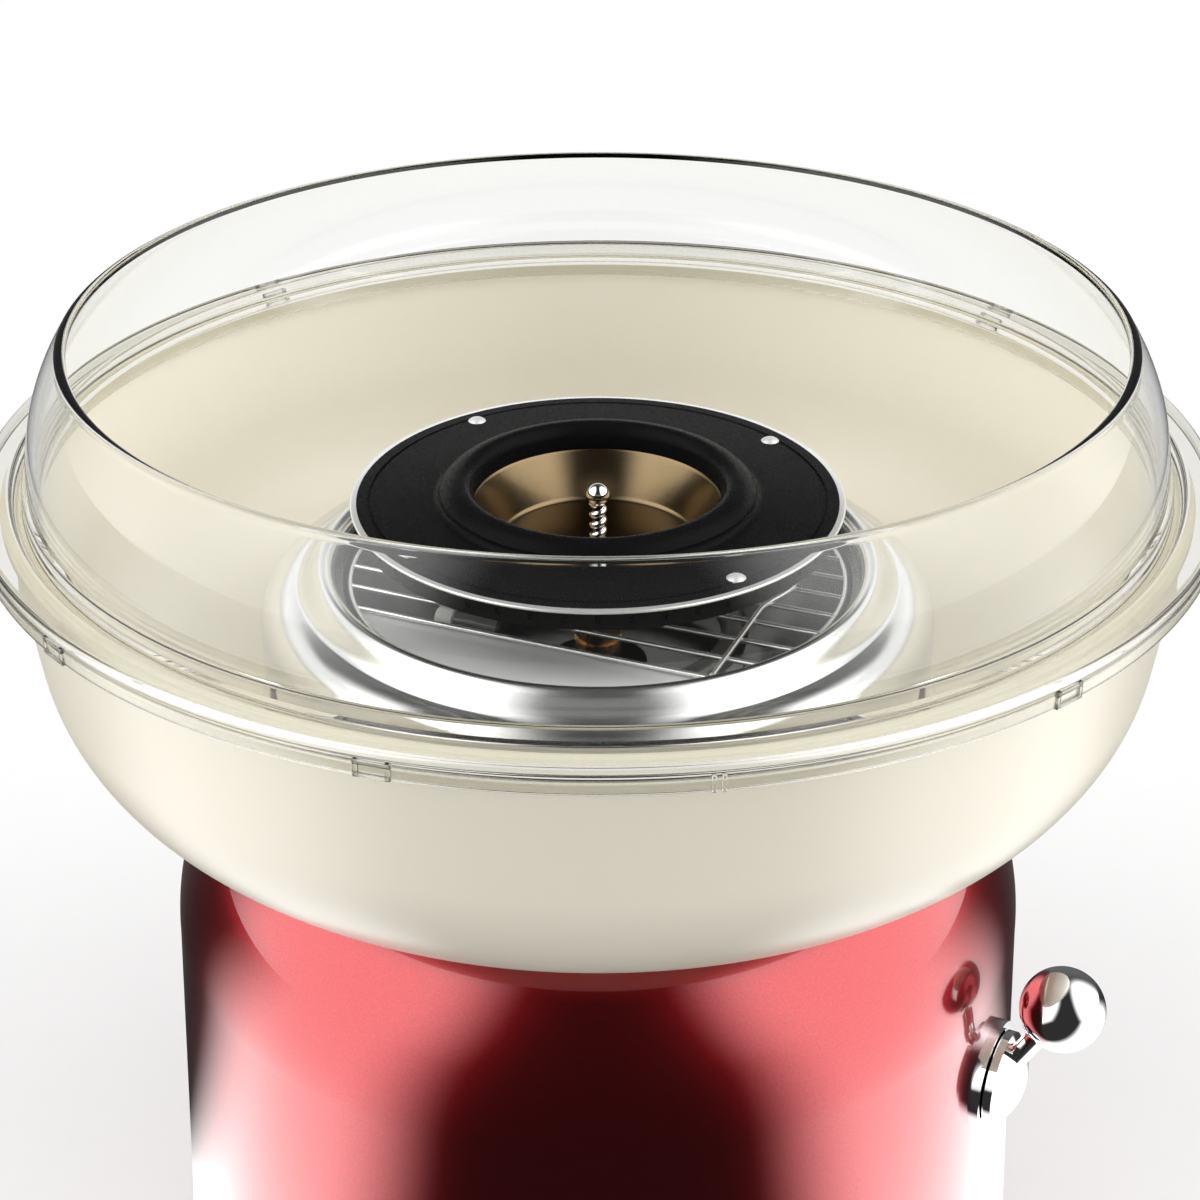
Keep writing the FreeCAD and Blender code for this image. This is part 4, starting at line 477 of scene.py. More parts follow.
def guard_section():
    """Section of the clear guard: spigot, flange, skirt, shoulder, step, bulged wall and bead."""
    flange_top = FLANGE_UNDER + GUARD_FLANGE
    foot_z = flange_top + GUARD_STEP_HEIGHT
    outer, inner = GUARD_BULGE_RADIUS, GUARD_BULGE_RADIUS - GUARD_WALL
    foot = GUARD_FOOT
    centre = (foot - outer, foot_z)
    step = foot + GUARD_STEP
    groove = step + GUARD_GROOVE
    skirt_low = FLANGE_UNDER - GUARD_SKIRT_DROP
    shoulder_top = flange_top + GUARD_SHOULDER
    soft = GUARD_SHOULDER
    bead_in = GUARD_TOP_RADIUS - GUARD_BEAD_WIDTH
    bead_low = GUARD_TOP - GUARD_BEAD_HEIGHT
    out_angle = math.degrees(math.asin((bead_low - foot_z) / outer))
    in_angle = math.degrees(math.asin((bead_low - GUARD_BEAD_LAP - foot_z) / inner))
    bead_out = arc(centre, outer, out_angle, out_angle)[0]
    edge, root, corner = GUARD_EDGE, GUARD_ROOT, GUARD_STEP_EDGE
    return (
        [(GUARD_SPIGOT_RADIUS - GUARD_WALL, GUARD_LOW.z), (GUARD_SPIGOT_RADIUS, GUARD_LOW.z),
         (GUARD_SPIGOT_RADIUS, FLANGE_UNDER), (GUARD_SKIRT_IN, FLANGE_UNDER)]
        + arc((GUARD_SKIRT_IN + edge, skirt_low + edge), edge, 180, 270, 5)
        + arc((GUARD_SKIRT_OUT - edge, skirt_low + edge), edge, 270, 360, 5)
        + arc((GUARD_SKIRT_OUT - soft, shoulder_top - soft), soft, 0, 90)
        + arc((groove + soft, shoulder_top - soft), soft, 90, 180)
        + arc((groove - root, flange_top + root), root, 0, -90, 5)
        + arc((step + root, flange_top + root), root, 270, 180, 5)
        + arc((step - corner, foot_z - corner), corner, 0, 90, 5)
        + [(foot, foot_z)]
        + arc(centre, outer, GUARD_WALL_START, out_angle, 40)
        + arc_through(bead_out, (GUARD_TOP_RADIUS - GUARD_BEAD_WIDTH / 2, GUARD_TOP),
                      (bead_in, bead_low), 22)
        + arc(centre, inner, in_angle, 0, 40)
        + [(centre[0] + inner, flange_top), (GUARD_SPIGOT_RADIUS - GUARD_WALL, FLANGE_UNDER)])


def box_mesh(size, centre):
    """Corners and faces of a box, in mm."""
    corners = [tuple(c + side * length / 2 for c, side, length in zip(centre, sides, size))
               for sides in itertools.product((-1, 1), repeat=3)]
    faces = [(0, 1, 3, 2), (4, 6, 7, 5), (0, 4, 5, 1), (2, 3, 7, 6), (0, 2, 6, 4), (1, 5, 7, 3)]
    return corners, faces


def turned_about(points, azimuth):
    """Points turned about the axis by an azimuth in degrees."""
    angle = math.radians(azimuth)
    c, s = math.cos(angle), math.sin(angle)
    return [(x * c - y * s, x * s + y * c, z) for x, y, z in points]


def bars_on_skirt(name, bars):
    """Small raised bars on the guard's skirt: (azimuth, across, up, width, height) each."""
    vertices, faces = [], []
    for azimuth, across, up, width, height in bars:
        corners, sides = box_mesh((BAR_DEPTH, width, height),
                                  (GUARD_SKIRT_OUT - BAR_SUNK, across, up))
        faces += [[i + len(vertices) for i in face] for face in sides]
        vertices += turned_about(corners, azimuth)
    piece = add_mesh(name, vertices, faces)
    soften = piece.modifiers.new("soft_edges", "BEVEL")
    soften.width = BAR_SOFT * MM
    soften.segments = 3
    return piece


def make_guard():
    """Clear guard with its snap clips and the pair of mould ribs at the front."""
    guard = lathe("guard_shell", guard_section(), segments=288)
    place(guard, "guard", CLEAR, "guard_clear", "rim_guard")
    low = FLANGE_UNDER - GUARD_SKIRT_DROP
    high = FLANGE_UNDER + GUARD_FLANGE
    middle, tall = (low + high) / 2, high - low
    bar = CLIP_BAR
    side = (GUARD_CLIP_WIDTH - bar) / 2
    bars = []
    for azimuth in GUARD_CLIP_AZIMUTHS:
        bars += [(azimuth, -side, middle, bar, tall), (azimuth, side, middle, bar, tall)]
        bars += [(azimuth, 0.0, low + bar / 2, GUARD_CLIP_WIDTH, bar),
                 (azimuth, 0.0, high - bar / 2, GUARD_CLIP_WIDTH, bar)]
    bars += [(azimuth, 0.0, middle, RIB_BAR, tall) for azimuth in GUARD_RIB_AZIMUTHS]
    place(bars_on_skirt("guard_clips", bars), "guard", CLEAR, "guard_clear")


# ---------------------------------------------------------------- bowl
BOWL_WALL = 2.6
BOWL_HOLE = 82.0
BOWL_COLLAR = 84.6
BOWL_UPSTAND = 3.5
BOWL_ARC_RADIUS = 43.0
BOWL_ARC_R = 88.0
BOWL_LIFT = 8.5
BOWL_RIM_THICKNESS = 2.5
BOWL_NECK = 134.6
BOWL_RIM = 135.6
BOWL_FILLET = 1.6
BOWL_SOFT = 0.6
BOWL_RIM_SOFT = 0.8
BOWL_MOUTH_SOFT = 0.5


def tangent_angle(centre, radius, point):
    """Angle at which a straight wall from a point leaves an arc."""
    dx, dz = point[0] - centre[0], point[1] - centre[1]
    return math.degrees(math.atan2(dz, dx) - math.acos(radius / math.hypot(dx, dz)))


def bowl_section():
    """Section of the bowl: collar, round belly, straight neck, rim and inner upstand."""
    base = BOWL_LOW.z
    top = BOWL_HIGH.z
    centre = (BOWL_ARC_R, DECK_Z + BOWL_LIFT + BOWL_ARC_RADIUS)
    outer, inner = BOWL_ARC_RADIUS, BOWL_ARC_RADIUS - BOWL_WALL
    rim_under = top - BOWL_RIM_THICKNESS
    neck, mouth = (BOWL_NECK, rim_under), (BOWL_NECK - BOWL_WALL, top)
    floor_z = centre[1] - inner
    upstand = floor_z + BOWL_UPSTAND
    fillet, soft, rim_soft, lip = BOWL_FILLET, BOWL_SOFT, BOWL_RIM_SOFT, BOWL_MOUTH_SOFT
    return (
        [(BOWL_HOLE, base), (BOWL_COLLAR, base)]
        + arc((BOWL_COLLAR + fillet, centre[1] - outer - fillet), fillet, 180, 90, 6)
        + [(centre[0], centre[1] - outer)]
        + arc(centre, outer, -90, tangent_angle(centre, outer, neck), 48)
        + [neck]
        + arc((BOWL_RIM - soft, rim_under + soft), soft, -90, 0, 6)
        + arc((BOWL_RIM - rim_soft, top - rim_soft), rim_soft, 0, 90, 8)
        + arc((mouth[0] + lip, top - lip), lip, 90, 175, 6)
        + arc(centre, inner, tangent_angle(centre, inner, mouth), -90, 48)
        + arc((BOWL_COLLAR + fillet, floor_z + fillet), fillet, 270, 180, 6)
        + arc((BOWL_COLLAR - soft, upstand - soft), soft, 0, 90, 6)
        + arc((BOWL_HOLE + soft, upstand - soft), soft, 90, 180, 6))


def make_bowl():
    place(lathe("bowl_shell", bowl_section(), segments=256), "bowl", CREAM, "bowl_cream", "bowl")


# ---------------------------------------------------------------- housing
HOUSING_WALL = 2.5
HOUSING_FOOT = 109.5
HOUSING_WAIST = 105.6
HOUSING_STRAIGHT = 91.0
HOUSING_EDGE = 1.6
DECK_EDGE = 88.1
DECK_HOLE = 12.0
DECK_THICKNESS = 3.0
DECK_BLEND = 1.6
DECK_BLEND_ANGLE = 1.5
DECK_BLEND_RISE = 0.25
DECK_BLEND_INSET = 1.2


def housing_section():
    """Section of the lacquered drum: tapering wall, round shoulder and flat deck."""
    base = HOUSING_LOW.z
    waist_z = base + HOUSING_STRAIGHT
    rise, inset = DECK_Z - waist_z, HOUSING_WAIST - DECK_EDGE
    radius = (rise ** 2 + inset ** 2) / (2 * inset)
    centre = (HOUSING_WAIST - radius, waist_z)
    top = math.degrees(math.asin(rise / radius))
    inner = radius - HOUSING_WALL
    under = DECK_Z - DECK_THICKNESS
    inner_top = math.degrees(math.asin((under - waist_z) / inner))
    edge = HOUSING_EDGE
    blend = arc(centre, radius, 0, top - DECK_BLEND_ANGLE, 40)
    last, lift = blend[-1], DECK_BLEND_RISE
    between = ((last[0] + DECK_EDGE - DECK_BLEND_INSET) / 2 + lift, DECK_Z - lift)
    rounded = arc_through(last, between, (DECK_EDGE - DECK_BLEND, DECK_Z), 5)
    return (
        [(HOUSING_FOOT - HOUSING_WALL, base)]
        + arc((HOUSING_FOOT - edge, base + edge), edge, -90, 0, 6)
        + blend + rounded
        + [(DECK_HOLE, DECK_Z), (DECK_HOLE, under)]
        + arc(centre, inner, inner_top, 0, 24))


def make_housing():
    place(lathe("housing_shell", housing_section(), segments=288), "base", RED,
          "body_red", "housing")


# ---------------------------------------------------------------- reflector and burner pan
WIRE_AZIMUTH = -22.0
SHEET = 1.0
REFLECTOR_RADIUS = 80.5
REFLECTOR_SKIRT = 40.5
REFLECTOR_SHOULDER = 9.0
LIP_RADIUS = 65.3
LIP_ROUND = 2.9
LIP_SLOPE = 6.4
FLANGE_REACH = 0.6
FLANGE_ROUND = 0.5
PAN_FLOOR_RADIUS = 39.0
PAN_DEPTH = 26.0
PAN_FLANGE_WIDTH = 1.8
PAN_HOLE = 12.0
PAN_RIM_DROP = 4.4
PAN_OUTER_BULGE = (0.5, 0.9)
# Size and place of the bright sheet that paints a reflection on the pan's floor.
REFLECTION_PATCH_CHORD = 35.3
REFLECTION_PATCH_THICKNESS = 0.6
REFLECTION_PATCH_GAP = 0.15
REFLECTION_PATCH_EDGE_DROP = 0.7
REFLECTION_PATCH_CLEARANCE = 0.2


def slope_down(start, end, steps=26):
    """Points on a soft S from a level crest down to a level shelf."""
    return [(start[0] + (end[0] - start[0]) * i / steps,
             start[1] + (end[1] - start[1]) * (1 - math.cos(math.pi * i / steps)) / 2)
            for i in range(steps + 1)]


def reflector_section():
    """Polished spun sheet: foot flange, skirt, shoulder, soft slope and broad rolled lip."""
    t = SHEET
    base = REFLECTOR_LOW.z
    top = base + REFLECTOR_SKIRT
    shelf = top + REFLECTOR_SHOULDER
    shoulder = (REFLECTOR_RADIUS - REFLECTOR_SHOULDER, top)
    crest = REFLECTOR_HIGH.z
    lip = (LIP_RADIUS, crest - LIP_ROUND)
    outside = slope_down((LIP_RADIUS, crest), (LIP_RADIUS + LIP_SLOPE, shelf))
    inside = slope_down((LIP_RADIUS, crest - t), (LIP_RADIUS + LIP_SLOPE - t / 2, shelf - t))
    pan_rim = crest - PAN_RIM_DROP
    bend = FLANGE_ROUND
    return (
        [(REFLECTOR_RADIUS - t, base)]
        + arc((REFLECTOR_RADIUS + FLANGE_REACH, base + bend), bend, -90, 90, 8)
        + arc((REFLECTOR_RADIUS + bend, base + t + bend), bend, 270, 180, 5)
        + arc(shoulder, REFLECTOR_SHOULDER, 0, 90, 24)
        + outside[::-1]
        + arc(lip, LIP_ROUND, 90, 180, 16)
        + [(LIP_RADIUS - LIP_ROUND, pan_rim), (LIP_RADIUS - LIP_ROUND + t, pan_rim)]
        + arc(lip, LIP_ROUND - t, 180, 90, 10)
        + inside
        + arc(shoulder, REFLECTOR_SHOULDER - t, 90, 0, 12))


def pan_section():
    """Polished dish under the heater, hung inside the lip."""
    t = SHEET
    floor_z = PAN_LOW.z + t
    radius = PAN_HIGH.x
    wall_top = radius - PAN_FLANGE_WIDTH
    half_r = PAN_FLOOR_RADIUS + (wall_top - PAN_FLOOR_RADIUS) * math.sqrt(0.5)
    half_z = floor_z + PAN_DEPTH / 2
    seat = PAN_HIGH.z
    ledge = seat - t
    out, down = PAN_OUTER_BULGE
    return (
        [(PAN_HOLE, floor_z - t), (PAN_FLOOR_RADIUS, floor_z - t)]
        + arc_through((PAN_FLOOR_RADIUS, floor_z - t), (half_r + out, half_z - down),
                      (wall_top + t, ledge - t), 20)
        + [(radius, ledge - t), (radius, seat), (radius - t, seat), (radius - t, ledge)]
        + arc_through((wall_top, ledge), (half_r, half_z), (PAN_FLOOR_RADIUS, floor_z), 20)
        + [(PAN_HOLE, floor_z)])


def painted_reflection_patch():
    """Flat bright sheet in the pan, at the front left under the first wire: a painted reflection of
    the light let in between the head and the lip.
    """
    top = GRILLE_LOW.z - REFLECTION_PATCH_GAP
    wall_top = PAN_HIGH.x - PAN_FLANGE_WIDTH
    share = math.sqrt((top - REFLECTION_PATCH_EDGE_DROP - PAN_LOW.z - SHEET) / PAN_DEPTH)
    radius = PAN_FLOOR_RADIUS + (wall_top - PAN_FLOOR_RADIUS) * share - REFLECTION_PATCH_CLEARANCE
    half = math.degrees(math.acos(REFLECTION_PATCH_CHORD / radius))
    edge = [(x, y, top) for x, y in arc((0.0, 0.0), radius, -half, half, 60)]
    upper = turned_about(edge, WIRE_AZIMUTH - 90.0)
    count = len(upper)
    vertices = [(x, y, z - REFLECTION_PATCH_THICKNESS) for x, y, z in upper] + upper
    sides = [(i, (i + 1) % count, count + (i + 1) % count, count + i) for i in range(count)]
    return add_mesh("painted_reflection_patch", vertices,
                    [tuple(range(count))[::-1], tuple(range(count, 2 * count))] + sides)


def make_reflector():
    """Reflector, burner pan and the bright sheet in the pan that is a painted reflection."""
    place(lathe("reflector_skin", reflector_section(), segments=288), "base", ALUMINIUM,
          "polished_aluminium", "reflector")
    place(lathe("burner_dish", pan_section(), segments=256), "base", PAN_METAL,
          "polished_aluminium", "burner_pan")
    # Bright sheet in the pan: painted reflection.
    place(painted_reflection_patch(), "base", REFLECTION_PATCH_PAINT, "polished_aluminium")


# ---------------------------------------------------------------- finger guard over the heater
WIRE_RADIUS = 0.8
WIRE_SEEN = 0.64
WIRE_PITCH = 9.35
WIRE_HALF_COUNT = 4
WIRE_HOOKED = -2
WIRE_EYE = 27.0
WIRE_CROSS = 42.2
WIRE_KINK = 3.6
WIRE_HOOK = 2.6
WIRE_HOOK_TURN = 0.35
WIRE_HOOK_RISE = 0.3


def make_grille():
    """Finger guard: parallel wires with an open eye, two cross wires and the outer ring."""
    ring = GRILLE_HIGH.x - WIRE_RADIUS
    z = GRILLE_LOW.z + WIRE_RADIUS
    high = z + WIRE_RADIUS
    pitch = WIRE_PITCH
    routes = []
    for i in range(-WIRE_HALF_COUNT, WIRE_HALF_COUNT + 1):
        y = i * pitch
        reach = math.sqrt(ring ** 2 - y ** 2)
        if abs(y) >= WIRE_EYE:
            routes.append([(-reach, y, z), (reach, y, z)])
            continue
        eye = math.sqrt(WIRE_EYE ** 2 - y ** 2)
        routes.append([(-reach, y, z), (-eye, y, z)])
        inner_end = [(reach, y, z), (eye, y, z)]
        if i == WIRE_HOOKED:
            turn = WIRE_HOOK_TURN * WIRE_HOOK
            inner_end += [(eye - turn, y + turn, z + WIRE_HOOK_RISE),
                          (eye - WIRE_HOOK / 2, y + WIRE_HOOK, high)]
        routes.append(inner_end)
    across = WIRE_CROSS
    bend = [(across, -pitch / 2, high)]
    for i in range(1, 8):
        share = i / 8
        ease = share * share * (3 - 2 * share)
        bend.append((across + WIRE_KINK * ease, -pitch / 2 + 1.5 * pitch * share, high))
    routes.append([(across, -4 * pitch, high)] + bend
                  + [(across + WIRE_KINK, pitch, high), (across + WIRE_KINK, 2 * pitch, high)])
    routes.append([(-across, -2 * pitch, high), (-across, 3 * pitch, high)])
    routes = [turned_about(route, WIRE_AZIMUTH) for route in routes]
    circle = [(ring * math.cos(math.radians(3 * i)), ring * math.sin(math.radians(3 * i)), z)
              for i in range(121)]
    place(wire("grille_wires", routes + [circle[:-1] + [circle[0]]], WIRE_SEEN),
          "base", WIRE, "wire_zinc", "wire_grille")


# ---------------------------------------------------------------- head
HEAD_MOUTH = 29.0
HEAD_RING_WIDTH = 9.0
HEAD_RING_RISE = 4.4
HEAD_GROOVE_INSET = 2.6
HEAD_GROOVE = 0.8
HEAD_GROOVE_DEPTH = 0.4
HEAD_GROOVE_SLOPE = 0.15
HEAD_CREST_SHARE = 0.45
HEAD_LIP_SHARE = 0.35
HEAD_BEND_SHARE = 0.62
HEAD_BEND_OUT = 0.8
HEAD_FOOT_BLEND = 0.9
HEAD_FOOT_START = 1.0
HEAD_FOOT_BEND = (0.1, 0.12)
HEAD_MOUTH_ROUND = 0.9
HEAD_PLATE = 1.4
RIM_BEAD = 0.4
RIM_BEAD_INSET = 0.3
CUP_FLOOR_RADIUS = 24.0
CUP_STEP = 0.6
CUP_ROUND = 2.6
CUP_ROUND_INSET = 1.2
CUP_BEND = 1.4
CUP_BEND_OUT = 0.4
POST_DOME = 2.75
THREAD_PITCH = 2.7
THREAD_WIRE = 0.8
THREAD_RADIUS = 1.35
THREAD_STEPS = 28
RIVET_CIRCLE = 51.9
RIVET_FIRST = 35.6
RIVET_HEAD = 2.2
RIVET_RISE = 0.9
RIVET_SUNK = 0.3
RIVET_COUNT = 4


def head_plate_section():
    """Section of the black top plate: flat disc, rolled ring round the mouth and its inner wall."""
    t = HEAD_PLATE
    under = HEAD_LOW.z
    top = under + t
    outer = HEAD_HIGH.x
    crest = HEAD_MOUTH + HEAD_CREST_SHARE * HEAD_RING_WIDTH
    foot = HEAD_MOUTH + HEAD_RING_WIDTH
    ring_top = top + HEAD_RING_RISE
    lip = top + HEAD_LIP_SHARE * HEAD_RING_RISE
    groove = outer - HEAD_GROOVE_INSET
    floor, slant = top - HEAD_GROOVE_DEPTH, HEAD_GROOVE_SLOPE
    inward = HEAD_MOUTH_ROUND
    bend = (0.5 * (crest + foot) + HEAD_BEND_OUT, top + HEAD_BEND_SHARE * HEAD_RING_RISE)
    slope = arc_through((foot, top), bend, (crest, ring_top), 18)
    slope = [point for point in slope if point[0] < foot - HEAD_FOOT_BLEND]
    return (
        [(HEAD_MOUTH, under), (HEAD_MOUTH + t, under), (HEAD_MOUTH + t, lip)]
        + arc_through((crest, ring_top - t), (bend[0] - t, bend[1] - t), (foot - t, under), 12)
        + [(outer, under), (outer, top)]
        + [(groove, top), (groove - slant, floor), (groove - HEAD_GROOVE + slant, floor),
           (groove - HEAD_GROOVE, top)]
        + arc_through((foot + HEAD_FOOT_START, top),
                      (foot + HEAD_FOOT_BEND[0], top + HEAD_FOOT_BEND[1]), slope[0], 6)
        + slope[1:]
        + arc_through((crest, ring_top), (HEAD_MOUTH + inward, ring_top - inward),
                      (HEAD_MOUTH, lip), 14))


def head_rim_section():
    """Bright half-round bead on the edge of the plate."""
    inner, middle = HEAD_HIGH.x, (RIM_HIGH.z + RIM_LOW.z) / 2
    half = RIM_BEAD
    outer = RIM_HIGH.x - half - RIM_BEAD_INSET
    return ([(inner, middle - half)] + arc((outer, middle), half, -90, 90, 16)
            + [(inner, middle + half)])


def cup_section():
    """Spun cup under the mouth, with a rounded foot and its flange under the plate."""
    t = SHEET
    low, high = CUP_LOW.z, CUP_HIGH.z
    mouth = HEAD_MOUTH + CUP_STEP
    foot = (CUP_FLOOR_RADIUS - CUP_ROUND_INSET, low + CUP_ROUND)
    return (
        [(THREAD_RADIUS, low)]
        + arc(foot, CUP_ROUND, -90, -20, 8)
        + [(mouth, high - t), (CUP_HIGH.x, high - t), (CUP_HIGH.x, high)]
        + arc((mouth + CUP_BEND_OUT, high - CUP_BEND), CUP_BEND, 90, 160, 6)
        + arc(foot, CUP_ROUND - t, -20, -90, 8)
        + [(THREAD_RADIUS, low + t)])


def post_section():
    """Stud with a domed head."""
    top = POST_HIGH.z
    core = THREAD_RADIUS
    start = -math.degrees(math.acos(core / POST_DOME))
    return ([(0.0, POST_LOW.z), (core, POST_LOW.z)]
            + arc((0, top - POST_DOME), POST_DOME, start, 90, 28))


def make_post():
    """Domed stud with a coarse round thread down to the cup's floor."""
    place(lathe("post_stud", post_section(), segments=64), "head", CHROME,
          "head_bright", "centre_post")
    low = CUP_LOW.z + SHEET + THREAD_WIRE
    high = POST_HIGH.z - 2 * POST_DOME + THREAD_WIRE
    turns = (high - low) / THREAD_PITCH
    steps = int(turns * THREAD_STEPS)
    helix = []
    for i in range(steps + 1):
        angle = 2 * math.pi * turns * i / steps
        helix.append((THREAD_RADIUS * math.cos(angle), THREAD_RADIUS * math.sin(angle),
                      low + (high - low) * i / steps))
    place(wire("post_thread", [helix], THREAD_WIRE), "head", CHROME, "head_bright")


def make_rivets():
    """Low domed rivet heads round the top plate; the first stands for the CAD rivets."""
    top = HEAD_LOW.z + HEAD_PLATE
    radius = (RIVET_HEAD ** 2 + RIVET_RISE ** 2) / (2 * RIVET_RISE)
    start = 90 - math.degrees(math.asin(RIVET_HEAD / radius))
    dome = arc((0, top + RIVET_RISE - radius), radius, start, 90, 10)
    section = [(0.0, top - RIVET_SUNK), (RIVET_HEAD, top - RIVET_SUNK)] + dome
    for i in range(RIVET_COUNT):
        angle = math.radians(RIVET_FIRST + 360 * i / RIVET_COUNT)
        rivet = lathe("rivet_head_%d" % (i + 1), section, segments=32)
        offset = Vector((RIVET_CIRCLE * math.cos(angle), RIVET_CIRCLE * math.sin(angle), 0)) * MM
        for vertex in rivet.data.vertices:
            vertex.co += offset
        place(rivet, "head", RIVET, "head_bright", *(["head_rivets"] if i == 0 else []))


def make_head():
    """Top plate, bead, cup, post and rivets; the CAD's band, pan and hub are kept."""
    place(lathe("head_plate", head_plate_section(), segments=256), "head", HEAD_BLACK,
          "head_black", "head_top")
    place(lathe("head_bead", head_rim_section(), segments=256), "head", HEAD_BRIGHT,
          "head_bright", "head_rim")
    place(lathe("cup_bowl", cup_section(), segments=192), "head", GOLD, "cup_gold", "head_cup")
    make_post()
    make_rivets()


# ---------------------------------------------------------------- thermal cut-out
FUSE_RADIUS = 2.6
FUSE_CAP_RADIUS = 2.7
FUSE_CAP = 5.0
FUSE_FROM = -29.0
FUSE_TO = -12.0
FUSE_OFFSET = -28.05
FUSE_CRIMP = 1.2
FUSE_STEP = 0.2
FUSE_GAP = 0.1


def along_grille(section, name):
    """Turned piece whose axis lies along the grille's wires, from a section of (radius, along)."""
    piece = lathe(name, section, segments=48)
    height = GRILLE_LOW.z - FUSE_CAP_RADIUS - FUSE_GAP
    for vertex in piece.data.vertices:
        x, y, z = vertex.co / MM
        place_mm = turned_about([(z, FUSE_OFFSET + x, height + y)], WIRE_AZIMUTH)[0]
        vertex.co = Vector(place_mm) * MM
    piece.data.flip_normals()
    return piece


def make_fuse():
    """Glass-sleeved cut-out with a white ceramic cap and a dark crimp."""
    edge, soft, turn = 0.5, 1.1, 0.4
    cap_end = FUSE_FROM + FUSE_CAP
    crimp_start = FUSE_TO - FUSE_CRIMP
    sleeve_radius = FUSE_RADIUS - FUSE_STEP
    cap = ([(0.0, FUSE_FROM)]
           + arc((FUSE_CAP_RADIUS - soft, FUSE_FROM + soft), soft, -90, 0, 8)
           + [(FUSE_CAP_RADIUS, cap_end - edge), (FUSE_CAP_RADIUS - edge, cap_end), (0.0, cap_end)])
    sleeve = [(0.0, cap_end), (sleeve_radius, cap_end), (sleeve_radius, crimp_start),
              (0.0, crimp_start)]
    crimp = ([(0.0, crimp_start), (FUSE_RADIUS, crimp_start)]
             + arc((FUSE_RADIUS - turn, FUSE_TO - turn), turn, 0, 90, 5) + [(0.0, FUSE_TO)])
    place(along_grille(cap, "fuse_cap"), "base", CAP_WHITE, "ceramic", "thermal_fuse")
    place(along_grille(sleeve, "fuse_sleeve"), "base", SLEEVE_GREY, "ceramic")
    place(along_grille(crimp, "fuse_crimp"), "base", BLACK_PLASTIC, "ceramic")


# ---------------------------------------------------------------- lever
BALL_RADIUS = 10.1


def make_lever():
    """Smooth chrome ball for the tip of the lever; the CAD's other lever nodes are kept."""
    low, high = node_box("lever_ball")
    centre = (low + high) / 2
    ball = lathe("lever_knob", arc((0, 0), BALL_RADIUS, -90, 90, 96), segments=128)
    for vertex in ball.data.vertices:
        vertex.co += centre * MM
    place(ball, "lever", CHROME, "lever_chrome", "lever_ball")


make_guard()
make_bowl()
make_housing()
make_reflector()
make_grille()
make_head()
make_fuse()
make_lever()

# ---------------------------------------------------------------- floor, light and camera
CAMERA_PLACE = (0.0005, -0.5027, 0.4514)
CAMERA_TILT = 61.75
CAMERA_LENS = 71.4
# A studio light is (base, at the sides, at the back, how far the sides reach overhead).
SOFT_LIGHT = (0.40, 2.0, 0.0, 0.0)
SHINE_LIGHT = (0.03, 2.5, 0.10, 0.38)
WALL_EDGE = (0.50, 0.85)
BACK_EDGE = (0.35, 0.95)
WORLD_FADE = (0.15, 0.7)
ONWARD_FADE = (-0.1, 0.5, 0.12, 1.0)
SKEW = 0.08
FLOOR_HALF = 4000.0
FLOOR_FADE = (-0.15, 0.35)
FLOOR_BOUNCE = (0.52, 0.52, 0.52)
FLOOR_WHITE = (0.16, 0.6, 0.45, 1.0)
LAMP_AIM = (0, 0, 0.15)
LAMPS = (("top_softbox", (0.0, -0.55, 1.45), (1.3, 0.7), 5.5),
         ("left_softbox", (-1.3, -0.2, 0.9), (0.7, 1.0), 5.5),
         ("right_softbox", (1.3, -0.2, 0.9), (0.7, 1.0), 5.5))


def maths(tree, operation, first, second=None):
    """One arithmetic node; a number or a socket may be given as the second term."""
    node = tree.nodes.new("ShaderNodeMath")
    node.operation = operation
    tree.links.new(first, node.inputs[0])
    if isinstance(second, (int, float)):
        node.inputs[1].default_value = second
    elif second is not None:
        tree.links.new(second, node.inputs[1])
    return node.outputs["Value"]


def studio_light(tree, direction, base, sides, back, overhead, fade):
    """Brightness of the studio by direction: softboxes at both sides, dark before and behind."""
    unit = tree.nodes.new("ShaderNodeVectorMath")
    unit.operation = "NORMALIZE"
    tree.links.new(direction, unit.inputs[0])
    split = tree.nodes.new("ShaderNodeSeparateXYZ")
    tree.links.new(unit.outputs["Vector"], split.inputs["Vector"])
    across = maths(tree, "ABSOLUTE", split.outputs["X"])
    lifted = maths(tree, "MULTIPLY", maths(tree, "MAXIMUM", split.outputs["Z"], 0.0), overhead)
    walls = smooth_step(tree, maths(tree, "ADD", across, lifted), *WALL_EDGE, 0.0, sides)
    depth = maths(tree, "SUBTRACT", split.outputs["Y"],
                  maths(tree, "MULTIPLY", split.outputs["X"], SKEW))
    rear = smooth_step(tree, depth, *fade, 1.0, 0.0)
    behind = smooth_step(tree, split.outputs["Y"], *BACK_EDGE, base, base + back)
    return maths(tree, "ADD", maths(tree, "MULTIPLY", walls, rear), behind)


def mirrored(tree, rays):
    """1 for rays thrown back by a shiny surface, but not for those sent on through clear parts."""
    glossy, sent_on = rays.outputs["Is Glossy Ray"], rays.outputs["Is Transmission Ray"]
    return maths(tree, "SUBTRACT", glossy, maths(tree, "MULTIPLY", glossy, sent_on))


def seen_directly(tree, rays):
    """1 for rays from the camera and those sent on through clear parts, else 0."""
    return maths(tree, "MAXIMUM", rays.outputs["Is Camera Ray"],
                 rays.outputs["Is Transmission Ray"])


